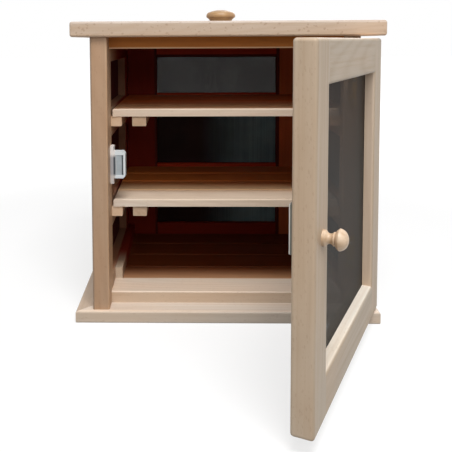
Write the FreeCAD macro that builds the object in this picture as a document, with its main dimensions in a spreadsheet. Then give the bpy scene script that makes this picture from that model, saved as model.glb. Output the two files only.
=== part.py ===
"""Counter-top pie safe: a beech case with insect mesh in its sides, back and door.

The model stands on the XY plane with its base centred on the origin, front towards -Y.
Every driving dimension is a cell of the spreadsheet, in millimetres, and every object
is bound to those cells. The door is drawn closed, about its hinge axis, and then turned
open as one.
"""
import FreeCAD, Part
import Sketcher
import os
import re

DOCUMENT = FreeCAD.newDocument("PieSafe")
SHEET = DOCUMENT.addObject("Spreadsheet::Sheet", "Sizes")

# Driving dimensions: cell word -> (value, what it measures)
SIZES = {
    "case_width": (320, "outside width over both side frames"),
    "case_depth": (284, "front of the latch stile to back of the case"),
    "case_height": (325, "height of the side frames"),
    "side_thickness": (20, "thickness of the side frames"),
    "back_thickness": (14, "thickness of the back frame"),
    "front_stile_width": (18, "front stile, behind the door"),
    "back_stile_width": (46, "back stiles of the sides and both stiles of the back"),
    "frame_top_rail": (30, "height of the frames' top rails"),
    "frame_mid_rail": (36, "height of the frames' middle rails"),
    "frame_bottom_rail": (30, "height of the frames' bottom rails"),
    "front_rail_height": (14, "rail under the top board, over the door opening"),
    "front_rail_depth": (20, "depth of that rail"),
    "frame_rounding": (2, "rounded arrises of the case frames"),
    "tenon_thickness": (4, "rail tenons"),
    "tenon_length": (8, "how far a tenon enters its stile"),
    "tenon_shoulder": (4, "shoulder above and below a tenon"),
    "rebate_width": (6, "rebate round each mesh window"),
    "side_rebate_depth": (8, "rebate depth in the side frames"),
    "back_rebate_depth": (6, "rebate depth in the back frame"),
    "door_rebate_depth": (9, "rebate depth in the door"),
    "mesh_thickness": (0.6, "woven wire mesh"),
    "mesh_margin": (1, "gap between the mesh edge and its rebate"),
    "base_thickness": (14, "mitred base frame"),
    "base_rail_width": (50, "width of the base rails"),
    "base_side_overhang": (20, "base beyond the sides"),
    "base_end_overhang": (6, "base beyond front and back"),
    "base_rounding": (2, "rounded arrises of the base"),
    "base_screw_inset": (9, "base screws into the stiles, from the stiles' inner edges"),
    "top_thickness": (18, "top board"),
    "top_side_overhang": (22.5, "top board beyond the sides"),
    "top_end_overhang": (6, "top board beyond front and back"),
    "top_rounding": (3, "rounded arrises of the top board"),
    "upper_shelf_height": (242, "underside of the upper shelf"),
    "lower_shelf_height": (130, "underside of the lower shelf"),
    "rail_rise": (10, "top of a middle rail above its shelf's underside"),
    "shelf_side_gap": (2, "shelf end to case side"),
    "shelf_setback": (13, "shelf front behind the case front"),
    "shelf_back_gap": (23, "shelf back to the back frame"),
    "slat_gap": (4, "air gap between shelf slats"),
    "slat_count": (4, "slats in each shelf"),
    "slat_thickness": (9.5, "shelf slats"),
    "slat_rounding": (2, "rounded arrises of the slats"),
    "batten_width": (17, "battens under the shelf slats"),
    "batten_height": (12, "battens under the shelf slats"),
    "batten_inset": (24, "batten to shelf end"),
    "batten_setback": (1.5, "batten end behind the shelf front"),
    "runner_width": (13, "runners that carry the shelves"),
    "runner_height": (12, "runners that carry the shelves"),
    "runner_setback": (14, "runner front behind the case front"),
    "runner_screw_inset": (30, "runner screws from the runner ends"),
    "small_rounding": (1, "eased edges of runners, battens and boards"),
    "sill_depth": (45, "front board of the floor"),
    "sill_thickness": (14, "front board of the floor"),
    "floor_thickness": (12, "floor boards behind the sill"),
    "floor_board_gap": (3, "air gap between floor boards"),
    "floor_board_count": (4, "floor boards behind the sill"),
    "kerb_width": (9, "kerb strips beside the floor boards"),
    "kerb_height": (16, "kerb strips beside the floor boards"),
    "door_thickness": (20, "door frame"),
    "door_gap": (2, "door back to case front, filled by the hinge leaves"),
    "door_latch_gap": (2, "door edge to latch stile"),
    "door_top_gap": (3, "door to top board"),
    "door_bottom_gap": (1, "door to base"),
    "door_stile_width": (40, "door stiles"),
    "door_rail_width": (38.5, "door rails"),
    "door_rounding": (3, "rounded arrises of the door"),
    "door_angle": (64.6, "how far the door stands open, in degrees"),
    "hinge_length": (40, "length of a hinge"),
    "hinge_inset": (42, "hinge to door end"),
    "hinge_leaf_width": (17, "hinge axis to leaf edge"),
    "hinge_screw_inset": (8, "hinge screws to the leaf's ends"),
    "hinge_screw_reach": (10.5, "hinge axis to its screws"),
    "knuckle_radius": (2.4, "hinge knuckles"),
    "knuckle_count": (5, "knuckles in a hinge"),
    "knuckle_gap": (0.2, "air gap between knuckles"),
    "knuckle_stand_off": (0.1, "knuckles clear of the case side"),
    "pin_radius": (1.2, "hinge pin"),
    "pin_clearance": (0.05, "pin to knuckle bore"),
    "screw_radius": (1.5, "wood screw shank"),
    "screw_head_radius": (2.9, "wood screw countersunk head"),
    "screw_head_height": (1.6, "wood screw countersunk head"),
    "screw_length": (20, "wood screw"),
    "small_screw_radius": (1.1, "hinge, catch and strike screws"),
    "small_screw_head_radius": (2, "hinge, catch and strike screws"),
    "small_screw_head_height": (0.8, "hinge, catch and strike screws"),
    "small_screw_length": (9, "hinge, catch and strike screws"),
    "catch_height": (184.2, "centre of the magnetic catch above the base underside"),
    "catch_length": (46, "catch flange"),
    "catch_flange": (4.2, "catch flange thickness"),
    "catch_body_length": (32.5, "catch body"),
    "catch_body_width": (18, "catch body, out from the stile"),
    "catch_depth": (14, "catch, front to back"),
    "magnet_setback": (0.9, "front of the magnet behind the front of the catch"),
    "catch_bevel": (2.5, "bevelled corners of the catch body"),
    "pole_length": (24, "steel pole plates"),
    "pole_thickness": (1.6, "steel pole plates"),
    "pole_spacing": (7.6, "between the middles of the pole plates"),
    "pole_offset": (10.9, "stile face to the middle between the pole plates"),
    "pole_clearance": (0.25, "pole plate to its slot"),
    "magnet_depth": (9, "magnet"),
    "strike_length": (41.5, "strike plate"),
    "strike_width": (14, "strike plate"),
    "strike_height": (2.8, "strike plate, proud of the door"),
    "strike_inset": (3, "strike plate to the door's edge"),
    "strike_sheet": (1.1, "sheet thickness of the strike plate"),
    "strike_rounding": (1, "turned rim of the strike plate"),
    "strike_clearance": (0.2, "strike plate to catch when the door is shut"),
    "top_knob_height": (19, "carrying knob on the top board"),
    "top_knob_foot": (13, "radius of its foot"),
    "top_knob_foot_height": (1, "height of its foot"),
    "top_knob_hollow": (16, "hollow curve of its underside"),
    "top_knob_rim": (19.6, "radius at its rim"),
    "top_knob_rim_height": (9.4, "height of its rim"),
    "top_knob_swell": (5.5, "swelling curve above its rim"),
    "top_knob_shoulder": (17, "radius where its flat dome starts"),
    "top_knob_shoulder_height": (15.6, "height where its flat dome starts"),
    "door_knob_reach": (20.6, "door knob, out from the door"),
    "door_knob_inset": (22.5, "door knob to the door's edge"),
    "door_knob_height": (175, "door knob above the base underside"),
    "door_knob_foot": (6.8, "radius of its foot"),
    "door_knob_foot_height": (2.2, "height of its foot"),
    "door_knob_foot_bevel": (1.1, "bevel of its foot"),
    "door_knob_throat": (5.2, "radius either side of its bead"),
    "door_knob_cove": (3.2, "hollow curve of its neck"),
    "door_knob_bead": (1, "curve of its bead"),
    "door_knob_bead_height": (9.3, "middle of its bead"),
    "door_knob_flare": (7, "swelling curve under its head"),
    "door_knob_radius": (9, "radius of its head"),
    "door_knob_belly": (13.5, "height of the widest place of its head"),
    "door_knob_slope": (7.6, "swelling curve over its head"),
    "door_knob_nose": (5.3, "radius where its dome starts"),
    "door_knob_nose_height": (19.2, "height where its dome starts"),
    "knob_tip": (0.6, "radius of the small flat that turning leaves on a knob"),
    "spigot_radius": (4, "turned spigots of both knobs"),
    "spigot_length": (11, "turned spigots of both knobs"),
}

# Places worked out from the sizes, as formulas in the words of the sheet
PLACES = {
    "half_width": "case_width / 2",
    "inner_half": "half_width - side_thickness",
    "front": "-case_depth / 2",
    "back": "case_depth / 2",
    "case_front": "front + door_thickness + door_gap",
    "inner_back": "back - back_thickness",
    "window_front": "case_front + front_stile_width",
    "window_back": "back - back_stile_width",
    "floor_level": "base_thickness",
    "case_top": "base_thickness + case_height",
    "upper_rail_top": "upper_shelf_height + rail_rise",
    "lower_rail_top": "lower_shelf_height + rail_rise",
    "shelf_front": "case_front + shelf_setback",
    "shelf_depth": "inner_back - shelf_back_gap - shelf_front",
    "slat_width": "(shelf_depth - (slat_count - 1) * slat_gap) / slat_count",
    "shelf_half": "inner_half - shelf_side_gap",
    "sill_back": "case_front + sill_depth",
    "runner_front": "case_front + runner_setback",
    "pivot_x": "half_width + knuckle_radius + knuckle_stand_off",
    "pivot_y": "case_front - door_gap / 2",
    "door_bottom": "base_thickness + door_bottom_gap",
    "door_top": "case_top - door_top_gap",
    "door_hinge_edge": "half_width - pivot_x",
    "door_latch_edge": "door_latch_gap - inner_half - pivot_x",
    "door_back": "-door_gap / 2",
    "door_front": "door_back - door_thickness",
    "bore_radius": "pin_radius + pin_clearance",
    "catch_front": "front + door_thickness + strike_height + strike_clearance",
    "catch_back": "catch_front + catch_depth",
    "catch_face": "pole_offset - inner_half",
    "catch_screw_offset": "(catch_length + catch_body_length) / 4",
}

WORD = re.compile(r"[a-z]\w*")


def formula(text):
    """The expression for a formula in the words of SIZES and PLACES."""
    def expand(match):
        word = match.group()
        if word in PLACES:
            return "(" + formula(PLACES[word]) + ")"
        return "Sizes." + word if word in SIZES else word
    return WORD.sub(expand, str(text))


def value(text):
    """The number that a formula gives with the sheet as it stands."""
    return float(SHEET.evalExpression(formula(text)))


def fill_sheet():
    """Write each driving dimension, its alias and its meaning into the sheet."""
    for row, (word, (size, meaning)) in enumerate(SIZES.items(), 1):
        SHEET.set(f"A{row}", word)
        SHEET.set(f"B{row}", str(size))
        SHEET.set(f"C{row}", meaning)
        SHEET.setAlias(f"B{row}", word)
    DOCUMENT.recompute()


# ---------------------------------------------------------------- building blocks

def bind(item, **formulas):
    """Bind properties of an object to formulas; Base_x stands for Placement.Base.x."""
    for name, text in formulas.items():
        item.setExpression(name.replace("Base_", "Placement.Base."), formula(text))
    return item


def block(name, x, y, z):
    """A square block between a low and a high place along each axis."""
    return bind(DOCUMENT.addObject("Part::Box", name),
                Length=f"({x[1]}) - ({x[0]})", Width=f"({y[1]}) - ({y[0]})",
                Height=f"({z[1]}) - ({z[0]})", Base_x=x[0], Base_y=y[0], Base_z=z[0])


AXES = {"x": (0, 1, 0), "y": (1, 0, 0), "z": (0, 0, 1)}
TURNS = {"+x": ((0, 1, 0), 90), "-x": ((0, 1, 0), -90), "+y": ((1, 0, 0), -90),
         "-y": ((1, 0, 0), 90), "+z": ((0, 0, 1), 0), "-z": ((0, 1, 0), 180)}


def facing(item, direction):
    """Turn an object that was made along +Z to face a direction such as "-y"."""
    axis, angle = TURNS[direction]
    item.Placement.Rotation = FreeCAD.Rotation(FreeCAD.Vector(*axis), angle)
    return item


def rod(name, radius, length, direction, x, y, z):
    """A cylinder that starts at a place and runs in a direction."""
    item = facing(DOCUMENT.addObject("Part::Cylinder", name), direction)
    return bind(item, Radius=radius, Height=length, Base_x=x, Base_y=y, Base_z=z)


def taper(name, radius, end_radius, length, direction, x, y, z):
    """A cone that starts at a place with one radius and ends with another."""
    item = facing(DOCUMENT.addObject("Part::Cone", name), direction)
    return bind(item, Radius1=radius, Radius2=end_radius, Height=length,
                Base_x=x, Base_y=y, Base_z=z)


def joined(name, *items):
    """One solid of several that overlap or touch."""
    fusion = DOCUMENT.addObject("Part::MultiFuse", name)
    fusion.Shapes = list(items)
    return fusion


def group(name, items):
    """Several separate solids kept as one object."""
    compound = DOCUMENT.addObject("Part::Compound", name)
    compound.Links = list(items)
    return compound


def without(name, base, tool):
    """A solid with another one cut out of it."""
    cut = DOCUMENT.addObject("Part::Cut", name)
    cut.Base = base
    cut.Tool = tool
    return cut


def within(name, base, zone):
    """The part of a solid that lies inside a zone."""
    common = DOCUMENT.addObject("Part::Common", name)
    common.Base = base
    common.Tool = zone
    return common


def lies(edge, tolerance=0.01, **places):
    """Whether an edge lies in every given plane, such as x="half_width"."""
    bounds = edge.BoundBox
    for axis, text in places.items():
        place = value(text)
        low, high = getattr(bounds, axis.upper() + "Min"), getattr(bounds, axis.upper() + "Max")
        if abs(low - place) > tolerance or abs(high - place) > tolerance:
            return False
    return True


def runs(edge, axis, tolerance=0.01):
    """Whether an edge is parallel to an axis."""
    bounds = edge.BoundBox
    spans = {"x": bounds.XLength, "y": bounds.YLength, "z": bounds.ZLength}
    return all(span < tolerance for name, span in spans.items() if name != axis)


def rounded(name, base, radius, chosen):
    """A solid with the chosen edges rounded."""
    DOCUMENT.recompute()
    fillet = DOCUMENT.addObject("Part::Fillet", name)
    fillet.Base = base
    size = value(radius)
    fillet.Edges = [(number, size, size)
                    for number, edge in enumerate(base.Shape.Edges, 1) if chosen(edge)]
    return fillet


NODES = []


def node(item, label):
    """Name a finished sub-part and keep it for the hand-over."""
    item.Label = label
    NODES.append(item)
    return item


def on_door(item, label):
    """Hang a piece, drawn in the closed door about the hinge axis, on the open door."""
    hung = group(label, [item])
    hung.Placement.Rotation.Axis = FreeCAD.Vector(0, 0, 1)
    bind(hung, Base_x="pivot_x", Base_y="pivot_y")
    hung.setExpression("Placement.Rotation.Angle", formula("door_angle"))
    return node(hung, label)


def screw(name, direction, x, y, z, small=False):
    """A countersunk wood screw whose head lies flush at a place; it runs in a direction."""
    kind = "small_screw" if small else "screw"
    head = taper(name + "_head", f"{kind}_head_radius", f"{kind}_radius",
                 f"{kind}_head_height", direction, x, y, z)
    shank = rod(name + "_shank", f"{kind}_radius", f"{kind}_length", direction, x, y, z)
    return joined(name, head, shank)


def point_rules(geometry, end, radius, height):
    """Sketch constraints, with their formulas, that put an end at a radius and a height."""
    rules = []
    for kind, text, axis in (("DistanceX", radius, -2), ("DistanceY", height, -1)):
        size = value(text)
        if abs(size) < 1e-9:
            rules.append((Sketcher.Constraint("PointOnObject", geometry, end, axis), None))
            continue
        ends = (-1, 1, geometry, end) if size > 0 else (geometry, end, -1, 1)
        sign = "" if size > 0 else "-1 * "
        rules.append((Sketcher.Constraint(kind, *ends, abs(size)), f"{sign}({text})"))
    return rules


def outline_curve(start, stop, bulge):
    """A line, or an arc that swells away from the axis (bulge > 0) or is hollow (< 0)."""
    if bulge is None:
        return Part.LineSegment(start, stop)
    radius, chord = abs(bulge), stop - start
    rise = radius - (radius ** 2 - (chord.Length / 2) ** 2) ** 0.5
    side = FreeCAD.Vector(chord.y, -chord.x, 0).normalize()
    outward = side if side.x >= 0 else -side
    middle = (start + stop) / 2 + outward * (rise if bulge > 0 else -rise)
    counterclockwise = (middle - start).cross(stop - middle).z > 0
    return Part.Arc(start, middle, stop) if counterclockwise else Part.Arc(stop, middle, start)


def turned(name, outline):
    """A piece turned about the upright axis of its sketch, in the XZ plane.

    outline lists (radius, height, bulge) in order, as formulas. A bulge of None draws a
    line from the point before; otherwise it is the radius of an arc, positive where the
    arc swells outwards and negative where it is hollow.
    """
    body = DOCUMENT.addObject("PartDesign::Body", name)
    sketch = body.newObject("Sketcher::SketchObject", name + "_outline")
    plane = next(item for item in body.Origin.OriginFeatures if item.Role == "XZ_Plane")
    sketch.AttachmentSupport = [(plane, "")]
    sketch.MapMode = "FlatFace"
    points = [FreeCAD.Vector(value(radius), value(height), 0) for radius, height, _ in outline]
    rules, ends = [], []
    for index, (radius, height, bulge) in enumerate(outline):
        start, stop = points[index - 1], points[index]
        curve = outline_curve(start, stop, None if bulge is None else value(bulge))
        number = sketch.addGeometry(curve)
        if bulge is not None:
            rules.append((Sketcher.Constraint("Radius", number, abs(value(bulge))),
                          f"abs({bulge})"))
        drawn = sketch.Geometry[number]
        forward = (drawn.EndPoint - stop).Length < (drawn.StartPoint - stop).Length
        ends.append((number, 1, 2) if forward else (number, 2, 1))
        rules += point_rules(number, ends[-1][2], radius, height)
    for index, (number, first, _) in enumerate(ends):
        before, _, last = ends[index - 1]
        rules.append((Sketcher.Constraint("Coincident", before, last, number, first), None))
    sketch.addConstraint([rule for rule, _ in rules])
    for index, (_, text) in enumerate(rules):
        if text:
            sketch.setExpression(f"Constraints[{index}]", formula(text))
    spin = body.newObject("PartDesign::Revolution", name + "_turning")
    spin.Profile = sketch
    spin.ReferenceAxis = (sketch, ["V_Axis"])
    spin.Angle = 360
    body.Tip = spin
    return body


def dome(radius, rise):
    """The radius of a round dome that covers a circle and rises by so much."""
    return f"({radius} ^ 2 + {rise} ^ 2) / (2 * {rise})"


# ---------------------------------------------------------------- mesh frames

class MeshFrame:
    """A mortised frame of stiles and rails whose windows hold mesh behind beads.

    A frame stands between two places along one axis ("x" or "y"), its show face lies at
    a place on the other, and it is as thick as its formula on the side that outward
    gives. Rails are (name, bottom, top) from the bottom of the frame to its top.
    """

    def __init__(self, name, axis, span, show_face, outward, thickness, rebate,
                 stiles, rails, rounding, round_outline):
        self.name, self.axis, self.span = name, axis, span
        self.show_face, self.outward, self.thickness = show_face, outward, thickness
        self.rebate, self.stiles, self.rails = rebate, stiles, rails
        self.rounding, self.round_outline = rounding, round_outline
        self.bottom, self.top = rails[0][1], rails[-1][2]
        self.first = f"({span[0]}) + {stiles[0][1]}"
        self.last = f"({span[1]}) - {stiles[1][1]}"
        self.blank = self.make_blank()

    def deep(self, near, far):
        """Low and high places between two depths behind the show face."""
        if self.outward > 0:
            return f"({self.show_face}) + {near}", f"({self.show_face}) + {far}"
        return f"({self.show_face}) - {far}", f"({self.show_face}) - {near}"

    def slab(self, name, along, depth, height):
        """A block given along the frame, by depth behind the show face and by height."""
        across = self.deep(*depth)
        if self.axis == "x":
            return block(name, along, across, height)
        return block(name, across, along, height)

    def windows(self):
        """Bottom and top of each window, between one rail and the next."""
        return [(low[2], high[1]) for low, high in zip(self.rails, self.rails[1:])]

    def plane(self, **places):
        """Translate along and deep into the axes of the model."""
        names = {"along": self.axis, "deep": "y" if self.axis == "x" else "x", "z": "z"}
        return {names[key]: text for key, text in places.items()}

    def make_blank(self):
        """The whole frame, with windows, rebates and rounded arrises, before it is parted."""
        outer = self.slab(self.name + "_outer", self.span, ("0", self.thickness),
                          (self.bottom, self.top))
        openings = []
        for number, (low, high) in enumerate(self.windows(), 1):
            openings.append(self.slab(f"{self.name}_window_{number}", (self.first, self.last),
                                      ("-1", f"({self.thickness} + 1)"), (low, high)))
            openings.append(self.slab(
                f"{self.name}_rebate_{number}",
                (f"{self.first} - rebate_width", f"{self.last} + rebate_width"),
                (f"({self.thickness} - {self.rebate})", f"({self.thickness} + 1)"),
                (f"({low}) - rebate_width", f"({high}) + rebate_width")))
        cut = without(self.name + "_opened", outer, joined(self.name + "_openings", *openings))

        def chosen(edge):
            sides = [self.plane(along=place) for place in self.span]
            ends = [{"z": self.bottom}, {"z": self.top}]
            on_outline = any(lies(edge, **place) for place in sides + ends)
            if on_outline:
                upright = runs(edge, "z") and any(lies(edge, **place) for place in sides)
                return self.round_outline == "all" or (self.round_outline == "upright" and upright)
            return lies(edge, **self.plane(deep=self.show_face))

        return rounded(self.name + "_blank", cut, self.rounding, chosen)

    def tenons(self, number, low, high):
        """The two tenons of one rail."""
        solid = f"({self.thickness} - {self.rebate})"
        depth = (f"(({solid} - tenon_thickness) / 2)", f"(({solid} + tenon_thickness) / 2)")
        height = (f"({low}) + tenon_shoulder", f"({high}) - tenon_shoulder")
        left = self.slab(f"{self.name}_tenon_{number}a",
                         (f"{self.first} - tenon_length", self.first), depth, height)
        right = self.slab(f"{self.name}_tenon_{number}b",
                          (self.last, f"{self.last} + tenon_length"), depth, height)
        return [left, right]

    def pieces(self):
        """Part the blank into its stiles and tenoned rails, by name."""
        through = ("-1", f"({self.thickness} + 1)")
        parts, all_tenons = {}, []
        for number, (name, low, high) in enumerate(self.rails, 1):
            tenons = self.tenons(number, low, high)
            all_tenons += tenons
            below = f"({low}) - 1" if number == 1 else low
            above = f"({high}) + 1" if number == len(self.rails) else high
            body = self.slab(f"{self.name}_zone_{number}", (self.first, self.last), through,
                             (below, above))
            zone = joined(f"{self.name}_rail_zone_{number}", body, *tenons)
            parts[name] = within(f"{self.name}_{name}_cut", self.blank, zone)
        mortises = group(self.name + "_mortises", all_tenons)
        spans = ((f"({self.span[0]}) - 1", self.first), (self.last, f"({self.span[1]}) + 1"))
        for (name, _), along in zip(self.stiles, spans):
            zone = self.slab(f"{self.name}_{name}_zone", along, through,
                             (f"({self.bottom}) - 1", f"({self.top}) + 1"))
            whole = within(f"{self.name}_{name}_whole", self.blank, zone)
            parts[name] = without(f"{self.name}_{name}_cut", whole, mortises)
        return parts

    def mesh(self):
        """A sheet of mesh in each window's rebate."""
        depth = (f"({self.thickness} - {self.rebate})",
                 f"({self.thickness} - {self.rebate} + mesh_thickness)")
        grow = "(rebate_width - mesh_margin)"
        sheets = [self.slab(f"{self.name}_mesh_{number}",
                            (f"{self.first} - {grow}", f"{self.last} + {grow}"), depth,
                            (f"({low}) - {grow}", f"({high}) + {grow}"))
                  for number, (low, high) in enumerate(self.windows(), 1)]
        return group(self.name + "_mesh_sheets", sheets)

    def beads(self):
        """The four strips that hold each sheet of mesh in its rebate."""
        depth = (f"({self.thickness} - {self.rebate} + mesh_thickness)", self.thickness)
        whole = (f"{self.first} - rebate_width", f"{self.last} + rebate_width")
        strips = []
        for number, (low, high) in enumerate(self.windows(), 1):
            name = f"{self.name}_bead_{number}"
            below, above = f"({low}) - rebate_width", f"({high}) + rebate_width"
            strips += [
                self.slab(name + "_bottom", whole, depth, (below, low)),
                self.slab(name + "_top", whole, depth, (high, above)),
                self.slab(name + "_first", (whole[0], self.first), depth, (low, high)),
                self.slab(name + "_last", (self.last, whole[1]), depth, (low, high)),
            ]
        return strips


# ---------------------------------------------------------------- sub-assemblies

def case_rails(bottom_name="bottom_rail"):
    """The rails of a case frame, from the floor up."""
    return [(bottom_name, "floor_level", "floor_level + frame_bottom_rail"),
            ("lower_mid_rail", "lower_rail_top - frame_mid_rail", "lower_rail_top"),
            ("upper_mid_rail", "upper_rail_top - frame_mid_rail", "upper_rail_top"),
            ("top_rail", "case_top - frame_top_rail", "case_top")]


def make_base():
    """Four mitred rails laid flat."""
    half_length = "(half_width + base_side_overhang)"
    half_depth = "(case_depth / 2 + base_end_overhang)"
    rails = {}
    for quarter, side in enumerate(("front", "right", "back", "left")):
        name = f"base_{side}_rail"
        half, reach = (half_length, half_depth) if quarter % 2 == 0 else (half_depth, half_length)
        wedge = DOCUMENT.addObject("Part::Wedge", name + "_wedge")
        bind(wedge, Xmin=f"-{half}", Xmax=half, Ymin=f"-{reach}",
             Ymax=f"base_rail_width - {reach}", Zmin="0", Zmax="base_thickness",
             X2min=f"base_rail_width - {half}", X2max=f"{half} - base_rail_width",
             Z2min="0", Z2max="base_thickness")
        eased = rounded(name + "_eased", wedge, "base_rounding",
                        lambda edge, reach=reach: lies(edge, y=f"-{reach}") and runs(edge, "x"))
        eased.Placement.Rotation = FreeCAD.Rotation(FreeCAD.Vector(0, 0, 1), 90 * quarter)
        rails[name] = eased
    return rails


def make_base_screws():
    """Screws up through the base rails into the side frames."""
    middle = "(half_width - side_thickness / 2)"
    places = ("window_front - base_screw_inset", "0", "window_back + base_screw_inset")
    return [screw(f"base_screw_{side}_{number}", "+z", f"{sign}{middle}", y, "0")
            for side, sign in (("left", "-"), ("right", ""))
            for number, y in enumerate(places, 1)]


def make_floor():
    """Sill, floor boards and the kerb strips beside them."""
    across = ("-inner_half", "inner_half")
    sill = block("sill_blank", across, ("case_front", "sill_back"),
                 ("floor_level", "floor_level + sill_thickness"))
    sill = rounded("sill_eased", sill, "frame_rounding",
                   lambda edge: lies(edge, y="case_front", z="floor_level + sill_thickness"))
    node(sill, "sill")
    count = int(value("floor_board_count"))
    pitch = "((inner_back - sill_back + floor_board_gap) / floor_board_count)"
    top = "floor_level + floor_thickness"
    boards = []
    for number in range(count):
        start = f"sill_back + {number} * {pitch}"
        board = block(f"floor_board_{number + 1}_blank", across,
                      (start, f"{start} + {pitch} - floor_board_gap"), ("floor_level", top))
        boards.append(rounded(f"floor_board_{number + 1}", board, "small_rounding",
                              lambda edge: lies(edge, z=top) and runs(edge, "x")))
    node(group("floor_boards", boards), "floor_boards")
    kerbs = [block(f"kerb_{side}", x, ("sill_back", "inner_back"), (top, f"{top} + kerb_height"))
             for side, x in (("left", ("-inner_half", "kerb_width - inner_half")),
                             ("right", ("inner_half - kerb_width", "inner_half")))]
    node(group("floor_kerbs", kerbs), "floor_kerbs")


def make_top(knob):
    """Top board, pierced for the knob's spigot, and the front rail under it."""
    half_length = "(half_width + top_side_overhang)"
    half_depth = "(case_depth / 2 + top_end_overhang)"
    board = block("top_board_blank", (f"-{half_length}", half_length),
                  (f"-{half_depth}", half_depth), ("case_top", "case_top + top_thickness"))
    board = rounded("top_board_eased", board, "top_rounding", lambda edge: True)
    node(without("top_board_bored", board, knob), "top_board")
    rail = block("front_top_rail_blank", ("-inner_half", "inner_half"),
                 ("case_front", "case_front + front_rail_depth"),
                 ("case_top - front_rail_height", "case_top"))
    node(rounded("front_top_rail_eased", rail, "frame_rounding",
                 lambda edge: lies(edge, y="case_front", z="case_top - front_rail_height")),
         "front_top_rail")


def make_top_knob():
    """Broad low knob, turned with a spigot that is glued into the top board."""
    board_top = "case_top + top_thickness"
    knob = turned("top_knob_body", [
        ("0", "-spigot_length", None),
        ("spigot_radius", "-spigot_length", None),
        ("spigot_radius", "0", None),
        ("top_knob_foot", "0", None),
        ("top_knob_foot", "top_knob_foot_height", None),
        ("top_knob_rim", "top_knob_rim_height", "-top_knob_hollow"),
        ("top_knob_shoulder", "top_knob_shoulder_height", "top_knob_swell"),
        ("knob_tip", "top_knob_height",
         dome("top_knob_shoulder", "(top_knob_height - top_knob_shoulder_height)")),
        ("0", "top_knob_height", None),
    ])
    return bind(knob, Base_z=board_top)


def make_shelf(name, height):
    """Slats across two battens."""
    depth_places = []
    for number in range(int(value("slat_count"))):
        start = f"shelf_front + {number} * (slat_width + slat_gap)"
        depth_places.append((start, f"{start} + slat_width"))
    top = f"{height} + slat_thickness"
    slats = []
    for number, places in enumerate(depth_places, 1):
        slat = block(f"{name}_slat_{number}_blank", ("-shelf_half", "shelf_half"), places,
                     (height, top))
        slats.append(rounded(f"{name}_slat_{number}", slat, "slat_rounding",
                             lambda edge: lies(edge, z=top)))
    node(group(f"{name}_slats", slats), f"{name}_slats")
    battens = []
    for side, x in (("left", ("batten_inset - shelf_half",
                              "batten_inset + batten_width - shelf_half")),
                    ("right", ("shelf_half - batten_inset - batten_width",
                               "shelf_half - batten_inset"))):
        batten = block(f"{name}_batten_{side}_blank", x,
                       ("shelf_front + batten_setback",
                        "shelf_front + shelf_depth - batten_setback"),
                       (f"{height} - batten_height", height))
        battens.append(rounded(f"{name}_batten_{side}", batten, "small_rounding",
                               lambda edge: lies(edge, z=f"{height} - batten_height")
                               and runs(edge, "y")))
    node(group(f"{name}_battens", battens), f"{name}_battens")


def make_runners():
    """The four runners and their screws; gives the screws of each side and level."""
    screws = {}
    for level in ("upper", "lower"):
        height = f"{level}_shelf_height"
        for side, sign, direction in (("left", "-", "-x"), ("right", "", "+x")):
            name = f"{level}_{side}_runner"
            faces = (f"{sign}inner_half", f"{sign}(inner_half - runner_width)")
            x = faces if side == "left" else faces[::-1]
            blank = block(name + "_blank", x, ("runner_front", "inner_back"),
                          (f"{height} - runner_height", height))
            eased = rounded(name + "_eased", blank, "small_rounding",
                            lambda edge, face=faces[1]: lies(edge, x=face) and runs(edge, "y"))
            fixings = [screw(f"{name}_screw_{number}", direction, faces[1], y,
                             f"{height} - runner_height / 2")
                       for number, y in enumerate(("runner_front + runner_screw_inset",
                                                   "window_back - runner_screw_inset"), 1)]
            screws[level, side] = group(name + "_screws", fixings)
            node(without(name + "_drilled", eased, screws[level, side]), name)
    return screws


def make_catch():
    """Magnetic catch on the latch stile: case, magnet and two steel pole plates."""
    low, high = "catch_height - catch_length / 2", "catch_height + catch_length / 2"
    depth = ("catch_front", "catch_back")
    flange = block("catch_flange_blank", ("-inner_half", "catch_flange - inner_half"), depth,
                   (low, high))
    body = block("catch_body_blank", ("-inner_half", "catch_body_width - inner_half"), depth,
                 ("catch_height - catch_body_length / 2", "catch_height + catch_body_length / 2"))
    body = DOCUMENT.addObject("Part::Chamfer", "catch_body_bevelled")
    body.Base = DOCUMENT.getObject("catch_body_blank")
    DOCUMENT.recompute()
    bevel = value("catch_bevel")
    body.Edges = [(number, bevel, bevel) for number, edge in enumerate(body.Base.Shape.Edges, 1)
                  if lies(edge, x="catch_body_width - inner_half") and runs(edge, "y")]
    whole = joined("catch_whole", flange, body)
    slot_half = "(pole_length / 2 + pole_clearance)"
    outer = "(pole_spacing / 2 + pole_thickness / 2 + pole_clearance)"
    heights = (f"catch_height - {slot_half}", f"catch_height + {slot_half}")
    cavity = block("catch_cavity", (f"catch_face - {outer}", f"catch_face + {outer}"),
                   ("catch_front - 1", "catch_back + 1"), heights)
    plates = []
    for side, sign in (("left", "-"), ("right", "+")):
        middle = f"catch_face {sign} pole_spacing / 2"
        inner = f"{middle} - pole_thickness / 2", f"{middle} + pole_thickness / 2"
        plates.append(block(f"pole_plate_{side}", inner, ("catch_front", "catch_back - 1"),
                            ("catch_height - pole_length / 2", "catch_height + pole_length / 2")))
    hollowed = without("catch_hollowed", whole, cavity)
    screws = [screw(f"catch_screw_{name}", "-x", "catch_flange - inner_half",
                    "(catch_front + catch_back) / 2", f"catch_height {sign} catch_screw_offset",
                    small=True)
              for name, sign in (("bottom", "-"), ("top", "+"))]
    fixings = group("catch_fixings", screws)
    node(without("catch_case_drilled", hollowed, fixings), "catch_case")
    node(group("catch_pole_plates", plates), "catch_pole_plates")
    reach = "(pole_spacing / 2 - pole_thickness / 2)"
    node(block("catch_magnet_block", (f"catch_face - {reach}", f"catch_face + {reach}"),
               ("catch_front + magnet_setback", "catch_front + magnet_setback + magnet_depth"),
               heights),
         "catch_magnet")
    return fixings


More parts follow.
